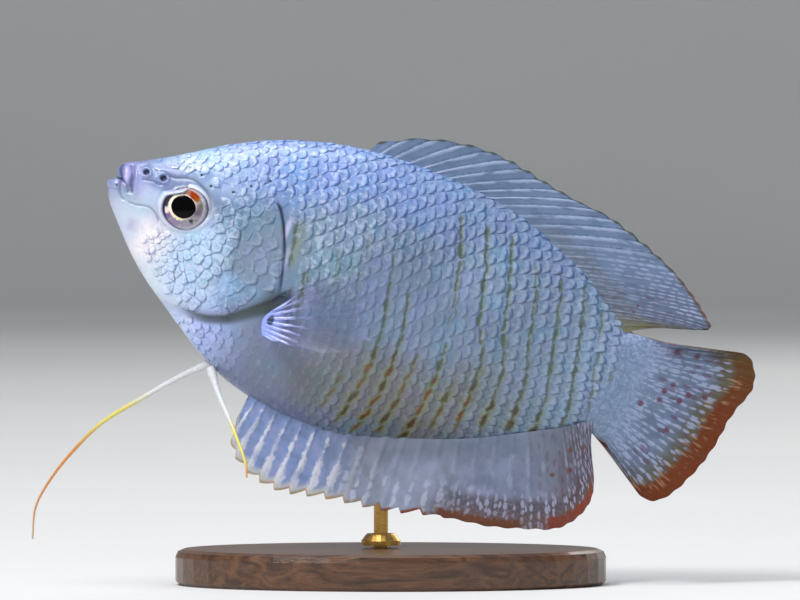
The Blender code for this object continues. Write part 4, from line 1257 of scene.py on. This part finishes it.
def make_fins(dorsal_look, anal_look, caudal_look, pectoral_look):
    """The three fins of the middle and the two on the flanks."""
    root, tip = on_edge(ray_fan(DORSAL_RAYS), back, -BURIED)
    shape = dict(FIN_SHAPE, bow=0.08, notch=0.45, sweep=lambda t, out: 0.9 * t * t * out)
    made = [fin_sheet("visible_dorsal_fin", root, lambda t: tip(t + 0.03 * np.sin(math.pi * t)),
                      25, 0.6, 44, shape, dorsal_look)]
    shape = dict(FIN_SHAPE, root=0.8, root_reach=2.3, notch=0.7, crowd=0.2,
                 sweep=lambda t, out: -0.8 * t * t * out)
    made.append(fin_sheet("visible_anal_fin", *on_edge(ray_fan(ANAL_RAYS), belly, BURIED),
                          28, 0.55, 44, shape, anal_look))
    tail = ray_fan(CAUDAL_RAYS)
    shape = dict(FIN_SHAPE, root=1.1, root_reach=4.0, taper=0.5, notch=0.15, ripple=0.07,
                 sweep=lambda t, out: -1.6 * out * out)
    made.append(fin_sheet("visible_caudal_fin",
                          lambda t: np.column_stack((0.0 * t + BODY_END - 1.0, tail(t)[:, 0])),
                          lambda t: tail(t)[:, 1:], 19, 0.0, 56, shape, caudal_look, 12))
    pectoral = ray_fan(PECTORAL_RAYS)
    angle = angle_at(np.array([PECTORAL_U]), np.array([PECTORAL_W]))
    off = PECTORAL_OFF - on_body(np.array([PECTORAL_U]), angle)[0, 1]
    for name, side in SIDES:
        cosine, sine = math.cos(PECTORAL_SPREAD), side * math.sin(PECTORAL_SPREAD)

        def place(points):
            ahead, across, up = points.T
            return np.column_stack((PECTORAL_U + ahead * cosine - across * sine,
                                    side * off + ahead * sine + across * cosine, PECTORAL_W + up))

        shape = dict(FIN_SHAPE, membrane=0.04, ray=0.08, root=0.42, root_reach=1.9, notch=0.1,
                     ripple=0.03, blunt=0.9,
                     sweep=lambda t, out: side * PECTORAL_CURL * out * out)
        fin = fin_sheet(f"visible_pectoral_fin_{name}",
                        lambda t: np.column_stack((-0.1 - 0.6 * np.sin(math.pi * t),
                                                   pectoral(t)[:, 0] * 2.0 + 0.25)),
                        lambda t: pectoral(t)[:, 1:], 10, 0.0, 36, shape, pectoral_look, 12, place)


DORSAL_SPOTS = ((59.73, 7.92), (59.89, 8.71))
ANAL_SPOTS = ((58.85, -9.0), (60.07, -8.15), (59.68, -11.07), (58.03, -12.33))
CAUDAL_SPOTS = ((65.9, 5.5), (68.1, 5.9), (66.8, 2.0), (66.1, 1.0), (64.2, -1.2), (66.0, -0.1),
                (68.1, 0.6), (68.8, 1.6), (70.6, 2.0), (68.0, -2.9))


class FinLook(Graph):
    """A fin's graph. off is the distance from the nearest ray, in rays; t and out are shares."""

    def __init__(self, name):
        super().__init__(name)
        self.ray, self.from_root, self.to_rim = self.split(self.attribute("fin"))
        self.t, self.out, _ = self.split(self.attribute("place"))
        self.fine = self.noise(2.6)
        self.off = self.ray - self.math("ROUND", self.ray) + self.wander(1.6, 0.22)
        self.rim = self.to_rim + self.wander(1.4, 0.5)

    def dashes(self, spacing, wide, tall, shift, least, per_ray):
        """Uneven dashes along the rays: 1 inside. least is the share of them left out."""
        moved = self.ray * per_ray + shift + self.wander(1.1, 0.55)
        row = self.math("FLOOR", moved)
        chance = self.node("TexWhiteNoise", 0, {"Vector": self.join(row, shift)})
        run = self.from_root / spacing + chance * 5.0 + self.noise(0.6) * 0.9
        cell = self.math("FLOOR", run)
        luck = self.node("TexWhiteNoise", 0, {"Vector": self.join(row, cell, shift)})
        oval = self.distance(self.join((moved - row - 0.5) / wide, (run - cell - 0.5) / tall))
        size = luck.ease(least, 1.0, 0.75, 1.15) - (self.fine - 0.5) * 0.8
        return (oval - size).ease(0.35, -0.3) * luck.ease(least, least + 0.04)

    def spots(self, places, size):
        """1 at each of some places given by u and w."""
        u, _, w = self.split(self.where)
        flat, found = self.join(u, w), 0.0
        for place in places:
            distance = self.distance(flat, (*place, 0.0)) + self.fine * 0.3
            found = distance.ease(1.3 * size, 0.6 * size) | found
        return found

    def ragged(self, across, along):
        """Noise drawn out along the rays."""
        return self.noise(1.0, where=self.join(self.ray * across, self.from_root * along))

    def streaks(self, half, least):
        """Ragged lines along the rays."""
        line = abs(self.off).ease(half + 0.07, half - 0.07)
        return line * self.ragged(1.7, 0.45).ease(least, least + 0.2)

    def comb(self):
        """Fine short pale lines along the rays."""
        return self.ragged(4.5, 0.4).ease(0.54, 0.62)

    def close(self, through_light):
        """Fills the shader, which lets some light through."""
        self.finish(self.fine.ease(0.2, 0.8, 0.3, 0.45),
                    self.fine * 0.4 + self.attribute("ridge", "Fac") * 0.3, (0.3, 0.00012),
                    Coat_Weight=0.15, Coat_Roughness=0.2)
        glow = self.node("BsdfTranslucent", inputs={"Color": self.colour})
        both = self.node("MixShader", inputs={
            0: through_light, 1: Wire(self, self.shader.outputs[0]), 2: glow})
        self.put(self.tree.nodes["Material Output"].inputs["Surface"], both)
        return self.material


def dorsal_fin_look():
    """Slate between pale rays in front, dashes behind, and dark tips to the spines."""
    g = FinLook("dorsal_membrane")
    t, fine, from_root = g.t, g.fine, g.from_root
    front, behind = t.ease(0.66, 0.54), t.ease(0.5, 0.66)
    g.colour = g.mix(g.noise(0.35).ease(0.3, 0.7), (104, 127, 162), (122, 145, 182))
    g.paint((98, 104, 126), t.ease(0.55, 1.0, 0.0, 0.75))
    g.paint((112, 120, 128), from_root.ease(4.2, 3.0) * t.ease(0.42, 0.55) * 0.5)
    beside_ray = abs(g.off + 0.27).ease(0.13, 0.04)
    g.paint((62, 76, 104), beside_ray * fine.ease(0.35, 0.55) * front * 0.4)
    streaks = g.streaks(0.16, 0.34) * from_root.ease(1.0, 5.0, 0.4, 1.0)
    g.paint((184, 202, 236), streaks * (0.1 + front * 0.5))
    dashes = g.dashes(1.15, 0.2, 0.42, 0.5, 0.15, 2.2)
    g.paint((186, 194, 230), dashes * behind * g.out.ease(0.2, 0.9, 0.3, 0.75))
    g.paint((92, 62, 84), g.dashes(1.5, 0.2, 0.3, 0.77, 0.7, 1.6) * t.ease(0.68, 0.8) * 0.5)
    g.paint((104, 50, 66), g.spots(DORSAL_SPOTS, 0.32) * 0.85)
    tips = abs(g.off).ease(0.36, 0.2) * g.to_rim.ease(0.75, 0.4)
    g.paint((64, 74, 56), tips * t.ease(0.98, 0.9) * 0.8)
    g.paint(g.mix(t.band(0.64, 0.84, 0.04), (72, 80, 60), (126, 72, 50)),
            g.rim.ease(0.42, 0.12) * t.ease(0.2, 0.5, 0.3, 0.75))
    g.paint((126, 122, 84), t.ease(0.87, 0.96) * fine.ease(0.3, 0.6, 0.5, 0.9))
    return g.close(0.2)


def anal_fin_look():
    """White ragged rays in front, grey lavender behind, with an orange and red margin."""
    g = FinLook("anal_membrane")
    t, fine, rim, to_rim, from_root = g.t, g.fine, g.rim, g.to_rim, g.from_root
    front, rear = t.ease(0.42, 0.3), t.ease(0.5, 0.62)
    g.colour = g.mix(g.noise(0.35).ease(0.3, 0.7), (136, 147, 168), (162, 171, 196))
    g.paint((144, 168, 222), front)
    lumps = g.noise(0.6, 2.5, 0.55)
    g.paint((184, 184, 226), lumps.ease(0.48, 0.62) * 0.4)
    g.paint((104, 124, 148), lumps.ease(0.48, 0.36) * 0.35)
    g.paint((84, 74, 88), (t + lumps * 0.2).ease(0.76, 0.96) * 0.85)
    g.paint((186, 204, 238), t.band(0.42, 0.56, 0.05) * 0.35)
    g.paint((148, 152, 158), t.band(0.3, 0.42, 0.05) * 0.2)
    g.paint((102, 128, 176), t.band(0.56, 0.74, 0.05) * 0.3)
    g.paint((122, 138, 160), from_root.ease(3.4, 1.3) * t.ease(0.3, 0.5) * 0.4)
    uneven = (g.ragged(1.3, 0.5) - 0.5) * 0.5 + (g.ragged(3.4, 1.5) - 0.5) * 0.45
    white = (abs(g.off) + uneven - (g.out * 0.27 - 0.02)).ease(0.12, -0.08)
    patchy = from_root.ease(0.9, 1.3) * g.ragged(0.7, 0.4).ease(0.36, 0.52, 0.4, 0.95)
    g.paint((238, 242, 255), white * front * patchy)
    streaks = g.streaks(0.14, 0.45) * t.ease(0.34, 0.44) * from_root.ease(1.0, 2.5)
    g.paint((196, 206, 232), streaks * 0.3)
    middle = g.dashes(1.6, 0.2, 0.46, 0.5, 0.15, 1.4) * t.band(0.34, 0.62, 0.05)
    g.paint((216, 226, 252), middle * to_rim.ease(5.4, 2.0) * 0.75)
    g.paint((92, 80, 88), to_rim.ease(3.8, 2.6) * rear * fine.ease(0.3, 0.55, 0.4, 0.85))
    rows = g.dashes(0.95, 0.2, 0.4, 0.5, 0.25, 2.2) | g.dashes(1.2, 0.18, 0.34, 0.13, 0.6, 2.2)
    edge_rows = to_rim.ease(4.6, 2.8) | t.ease(0.78, 0.9, 0.0, 0.8)
    g.paint((198, 200, 236), rows * rear * edge_rows * 0.68)
    g.paint((96, 58, 62), g.dashes(1.5, 0.22, 0.32, 0.77, 0.6, 1.8) * t.ease(0.66, 0.82) * 0.55)
    g.paint((112, 62, 52), g.spots(ANAL_SPOTS, 0.45) * 0.85)
    g.paint((222, 224, 222), rim.ease(1.2, 0.5) * front * 0.75)
    g.paint(g.mix(fine.ease(0.4, 0.6), (168, 176, 96), (216, 150, 92)),
            rim.ease(0.45, 0.15) * t.ease(0.5, 0.4) * 0.7)
    solid = 0.96 - rim.ease(0.4, 1.0) * g.comb() * 0.8
    blotch = t.ease(0.42, 0.47) * t.ease(0.56, 0.53) * g.noise(0.7).ease(0.44, 0.52)
    for colour, width, share in (((150, 80, 30), 0.38, blotch),
                                 ((116, 48, 8), 0.95, t.band(0.55, 0.7, 0.01)),
                                 ((140, 26, 4), 1.25, t.band(0.745, 0.91, 0.012))):
        g.paint(colour, rim.ease(width + 0.15, width - 0.15) * share * solid)
    g.paint((140, 104, 74), rim.ease(2.4, 1.0) * t.ease(0.5, 0.6) * 0.3)
    return g.close(0.2)


def caudal_fin_look():
    """Pale blue at the root, dashes and maroon spots, and an olive zone inside a red margin."""
    g = FinLook("caudal_membrane")
    t, fine, rim, from_root = g.t, g.fine, g.rim, g.from_root
    g.colour = g.mix(g.noise(0.4).ease(0.3, 0.7), (100, 116, 144), (120, 138, 168))
    g.paint((142, 167, 203), (from_root + fine * 1.5).ease(7.5, 3.6) * 0.85)
    top = t.ease(0.3, 0.05) * from_root.ease(8.5, 5.0)
    g.paint((182, 198, 246), top * fine.ease(0.35, 0.6) * 0.6)
    g.paint((160, 176, 206), g.streaks(0.12, 0.4) * from_root.ease(3.0, 5.0) * 0.3)
    mesh = g.cells(0.95, "DISTANCE_TO_EDGE").ease(0.2, 0.02)
    g.paint((92, 116, 152), mesh * from_root.ease(7.0, 4.0) * 0.3)
    g.paint((186, 206, 240), fine.ease(0.5, 0.62) * from_root.ease(8.0, 4.0) * 0.35)
    g.paint((88, 78, 34), (rim + t * 0.8).ease(6.0, 3.2) * 0.85)
    g.paint((92, 92, 86), t.ease(0.6, 0.95) * 0.45)
    for spacing, shift, least in ((1.15, 0.5, 0.12), (1.4, 0.13, 0.6)):
        dashes = g.dashes(spacing, 0.19, 0.42, shift, least, 2.0) * from_root.ease(3.0, 4.6)
        g.paint((184, 196, 236), dashes * rim.ease(1.6, 3.2) * 0.55)
    dark = g.dashes(1.5, 0.24, 0.3, 0.77, 0.66, 1.6) * from_root.band(5.5, 12.5, 1.0)
    g.paint((96, 60, 92), dark * rim.ease(2.0, 3.6) * 0.6)
    g.paint((104, 48, 76), g.spots(CAUDAL_SPOTS, 0.5) * 0.85)
    rust = g.mix(t.ease(0.1, 0.4), (90, 62, 0), (112, 48, 0))
    rust = g.mix(t.ease(0.7, 0.9) * 0.9, rust, (82, 22, 0))
    g.paint(rust, rim.ease(2.8, 1.8) * (0.1 + t.ease(0.03, 0.14) * 0.88))
    g.paint((196, 164, 126), g.comb() * rim.band(1.2, 3.2, 0.4) * 0.4)
    g.paint((166, 70, 32), t.ease(0.03, 0.005) * 0.8)
    return g.close(0.25)


def pectoral_fin_look():
    """Clear between its rays, with a pale fleshy root that has a dark pit of painted shadow, and
    painted shade between its fingers.
    """
    g = FinLook("pectoral_membrane")
    ray, fine, from_root = g.ray, g.fine, g.from_root
    veil, root = from_root.band(5.5, 11.5, 1.5), from_root.ease(3.1, 1.7)
    g.colour = g.mix(fine.ease(0.35, 0.65), (120, 126, 190), (156, 158, 214))
    g.paint((78, 86, 108), veil * 0.85)
    g.paint((148, 166, 236), root)
    finger = abs(g.off).ease(0.3, 0.12) * from_root.ease(4.2, 2.8)
    g.paint((200, 206, 255), finger * from_root.ease(0.9, 1.6) * fine.ease(0.3, 0.6, 0.4, 0.9))
    # painted shade in the grooves between the fleshy root's fingers
    g.paint((84, 96, 156), abs(g.off).ease(0.34, 0.44) * from_root.ease(0.8, 1.3) * root * 0.65)
    # painted shadow in the pit of the fleshy root
    pit = g.distance(g.join(ray * 0.33, from_root), (1.5, 1.0, 0.0))
    g.paint((24, 38, 78), pit.ease(0.5, 0.3) * 0.9)
    upper = ray.ease(0.5, 0.2) * from_root.ease(3.4, 2.6)
    g.paint((196, 206, 242), upper * 0.8)
    cover = (root | finger) * 0.97 | g.streaks(0.12, 0.4) * from_root.ease(4.0, 9.0, 0.55, 0.3)
    clear = 0.05 + veil * (0.07 + g.ragged(2.6, 0.12).ease(0.46, 0.6) * 0.16)
    clear = clear * g.to_rim.ease(0.0, 1.0)
    return g.finish(0.35, fine, (0.2, 0.0001), Alpha=cover | upper | clear)


# ---------------------------------------------------------------- feelers

FEELER_LEFT = ((18.8, -1.1, -16.05), (20.2, -2.8, -17.7), (22.4, -5.6, -19.8), (24.9, -9.4, -22.3),
               (26.1, -12.4, -23.7), (26.6, -14.6, -24.7))
FEELER_RIGHT = ((17.6, 1.1, -15.45), (15.4, 2.2, -17.8), (12.3, 3.9, -21.7), (9.2, 5.6, -25.9),
                (7.4, 6.9, -30.0), (6.2, 7.9, -34.0), (5.8, 8.6, -37.6), (6.8, 9.0, -41.1))
FEELER_RINGS, FEELER_SIDES = 150, 14
FEELER_ROOT, FEELER_TIP = 0.34, 0.1


def make_feeler(name, points, look):
    """A long thread that tapers, with a thicker root in the throat."""
    along = np.linspace(0.0, 1.0, FEELER_RINGS + 1)
    line = path(points)(along)
    first = line[0] + (line[0] - line[3]) / np.linalg.norm(line[0] - line[3]) * 0.9
    line, along = np.concatenate(([first], line)), np.concatenate(([-0.02], along))
    ahead = np.gradient(line, axis=0)
    ahead /= np.linalg.norm(ahead, axis=1, keepdims=True)
    side = np.cross(ahead, (0.0, 1.0, 0.0))
    side /= np.linalg.norm(side, axis=1, keepdims=True)
    share = np.clip(along, 0.0, 1.0)
    size = FEELER_TIP + (FEELER_ROOT - FEELER_TIP) * (1 - share) ** 1.1 + 0.16 * np.exp(-share * 16)
    size *= 1 + 0.05 * np.sin(np.arange(len(along)) * 1.9)
    size[-1] *= 0.4
    rings = line[:, None] + size[:, None, None] * spokes(
        turns(FEELER_SIDES), side[:, None], np.cross(ahead, side)[:, None])
    flat = rings.reshape(-1, 3)
    quads = tube(len(line), FEELER_SIDES)[0]
    number = np.arange(len(flat)).reshape(-1, FEELER_SIDES)
    faces = [quads, number[:1, ::-1], number[-1:]]
    if signed_volume(flat - line.mean(0), quads) < 0:
        faces = [face[:, ::-1] for face in faces]
    made = add_mesh(f"visible_{name}", flat, faces, look, {
        "along": np.repeat(along, FEELER_SIDES), "body": flat})
    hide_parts(name)


def feeler_look(name, yellow_at, orange_at, pale_at):
    """White at the root, then yellow, then orange."""
    g = Graph(name)
    along = g.attribute("along", "Fac")
    shift, grain = along + g.wander(0.8, 0.12), g.noise(6.0)
    g.colour = g.mix(shift.ease(yellow_at - 0.12, yellow_at + 0.08), (226, 230, 236),
                     (230, 216, 96))
    g.paint((222, 128, 40), shift.ease(orange_at - 0.08, orange_at + 0.1))
    g.paint((208, 176, 140), shift.ease(pale_at, pale_at + 0.25))
    g.paint((150, 120, 90), grain.ease(0.35, 0.65, 0.0, 0.25))
    rings = g.node("TexWave", 1, {"Vector": g.join(along * 60.0, 0.0), "Scale": 1.0,
                                  "Distortion": 1.0})
    return g.finish(grain.ease(0.3, 0.7, 0.3, 0.45), rings, (0.2, 0.00008), Subsurface_Weight=0.15)


# ---------------------------------------------------------------- stand, stage, light, camera

def walnut():
    """Oiled walnut with its grain along the base."""
    g = Graph("walnut", rides=False)
    x, y, z = g.split(g.where)
    bands = g.noise(1.0, 5.0, 0.6, g.join(x * 60.0, y * 700.0, z * 700.0), 1.6)
    pores = g.noise(1.0, 2.0, where=g.join(x * 220.0, y * 5200.0, z * 5200.0))
    g.colour = g.mix(bands.ease(0.3, 0.7), (58, 36, 24), (108, 72, 46))
    g.paint((30, 18, 12), pores.ease(0.58, 0.7, 0.0, 0.6))
    return g.finish(bands.ease(0.2, 0.8, 0.3, 0.42), pores, (0.25, 0.0001), Coat_Weight=0.35,
                    Coat_Roughness=0.18)


def brass():
    """Brushed brass."""
    g = Graph("brass", rides=False)
    x, y, z = g.split(g.where)
    brushed = g.noise(1.0, where=g.join(x * 900.0, y * 900.0, z * 14000.0))
    g.colour = g.mix(g.noise(260.0).ease(0.35, 0.7), (196, 156, 84), (176, 134, 70))
    return g.finish(brushed.ease(0.3, 0.7, 0.22, 0.38), brushed, (0.15, 0.00003), Metallic=1.0)


def floor_paper():
    """Matt pale paper."""
    g = Graph("floor_paper", rides=False)
    g.colour = g.mix(g.noise(3.0).ease(0.3, 0.7), (208, 209, 210), (214, 214, 214))
    return g.finish(0.85)


def dress(node, look):
    """Gives a CAD node its better material."""
    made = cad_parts[node]
    for slot in made.material_slots:
        slot.material = look


STAGE_FLAT, STAGE_CURVE, STAGE_HEIGHT = 1.75, 0.5, 2.6
STAGE_TURNS = 96


def make_stage():
    """A pale round floor that curves up all round into a wall."""
    profile = [(radius, 0.0) for radius in (0.02, 0.1, 0.3, 0.8)]
    profile += [(STAGE_FLAT + STAGE_CURVE * math.sin(a), STAGE_CURVE * (1 - math.cos(a)))
                for a in np.linspace(0.0, math.pi / 2, 17)]
    profile.append((STAGE_FLAT + STAGE_CURVE, STAGE_HEIGHT))
    points = [(r * math.cos(a), r * math.sin(a), h) for r, h in profile for a in turns(STAGE_TURNS)]
    quads, caps = tube(len(profile), STAGE_TURNS)
    mesh = bpy.data.meshes.new("floor")
    mesh.from_pydata(points + [(0.0, 0.0, 0.0)], [],
                     quads[:, ::-1].tolist() + caps[:STAGE_TURNS, ::-1].tolist())
    mesh.shade_smooth()
    mesh.materials.append(floor_paper())
    made = bpy.data.objects.new("floor", mesh)
    bpy.context.scene.collection.objects.link(made)


VIEW_CENTRE = (1.03, 0.0, 31.71)
VIEW_WIDTH = 89.12
VIEW_DISTANCE = 1000.0
VIEW_TILT = math.radians(1.0)
SENSOR = 36.0


def make_camera():
    """A long lens, level with the fish."""
    data = bpy.data.cameras.new("camera")
    data.sensor_width = SENSOR
    data.lens = SENSOR * VIEW_DISTANCE / VIEW_WIDTH
    data.clip_start, data.clip_end = 0.05, 20.0
    camera = bpy.data.objects.new("camera", data)
    aim = Vector(VIEW_CENTRE) * MM
    away = Vector((0.0, -math.cos(VIEW_TILT), math.sin(VIEW_TILT))) * VIEW_DISTANCE * MM
    camera.location = aim + away
    camera.rotation_euler = (-away).to_track_quat("-Z", "Y").to_euler()
    bpy.context.scene.collection.objects.link(camera)
    bpy.context.scene.camera = camera


# Each lamp: place and size in metres, power in watts, colour
LAMPS = {
    "key": ((-0.5, -0.55, 0.85), 0.35, 8.8, (1.0, 0.99, 0.97)),
    "fill": ((0.8, -0.9, 0.3), 0.9, 0.8, (0.94, 0.96, 1.0)),
    "top": ((-0.1, -0.1, 0.95), 0.5, 5.2, (0.97, 0.98, 1.0)),
    "rear": ((0.5, 0.9, 0.5), 0.6, 3.0, (1.0, 0.98, 0.96)),
}
AIM = Vector((0.0, 0.0, 0.028))
WORLD = ((0.93, 0.96, 1.0), 0.46)


def make_light():
    """Soft studio lamps and a pale surround."""
    for name, (place, size, power, colour) in LAMPS.items():
        data = bpy.data.lights.new(name, "AREA")
        data.size = size
        data.energy = power
        data.color = colour
        lamp = bpy.data.objects.new(name, data)
        lamp.location = place
        lamp.rotation_euler = (AIM - Vector(place)).to_track_quat("-Z", "Y").to_euler()
        lamp.visible_camera = False
        bpy.context.scene.collection.objects.link(lamp)
    world = bpy.data.worlds.new("surround")
    world.use_nodes = True
    ground = world.node_tree.nodes["Background"]
    ground.inputs["Color"].default_value = (*WORLD[0], 1.0)
    ground.inputs["Strength"].default_value = WORLD[1]
    bpy.context.scene.world = world
    bpy.context.scene.view_settings.view_transform = "Standard"


def build():
    """Camera, fish, stand and studio."""
    make_camera()
    flesh = flesh_look("scaled_skin_look")
    make_skin(flesh)
    trunk_scales(flesh)
    plate_field("scales_cheeks", CHEEK, 1.25, 0.065, 0.3, 0.15, 0.06, flesh)
    plate_field("scales_forehead", FOREHEAD, 1.0, 0.0, 0.3, 0.1, 0.04, flesh)
    iris = eye_look()
    for name, side in SIDES:
        make_eye(f"visible_eye_{name}", side, iris)
    make_fins(dorsal_fin_look(), anal_fin_look(), caudal_fin_look(), pectoral_fin_look())
    make_feeler("feeler_left", FEELER_LEFT, feeler_look("feeler_left_look", 0.45, 0.85, 2.0))
    make_feeler("feeler_right", FEELER_RIGHT, feeler_look("feeler_right_look", 0.3, 0.52, 0.8))
    dress("stand_base", walnut())
    metal = brass()
    dress("stand_rod", metal)
    dress("stand_collar", metal)
    make_stage()
    make_light()


build()
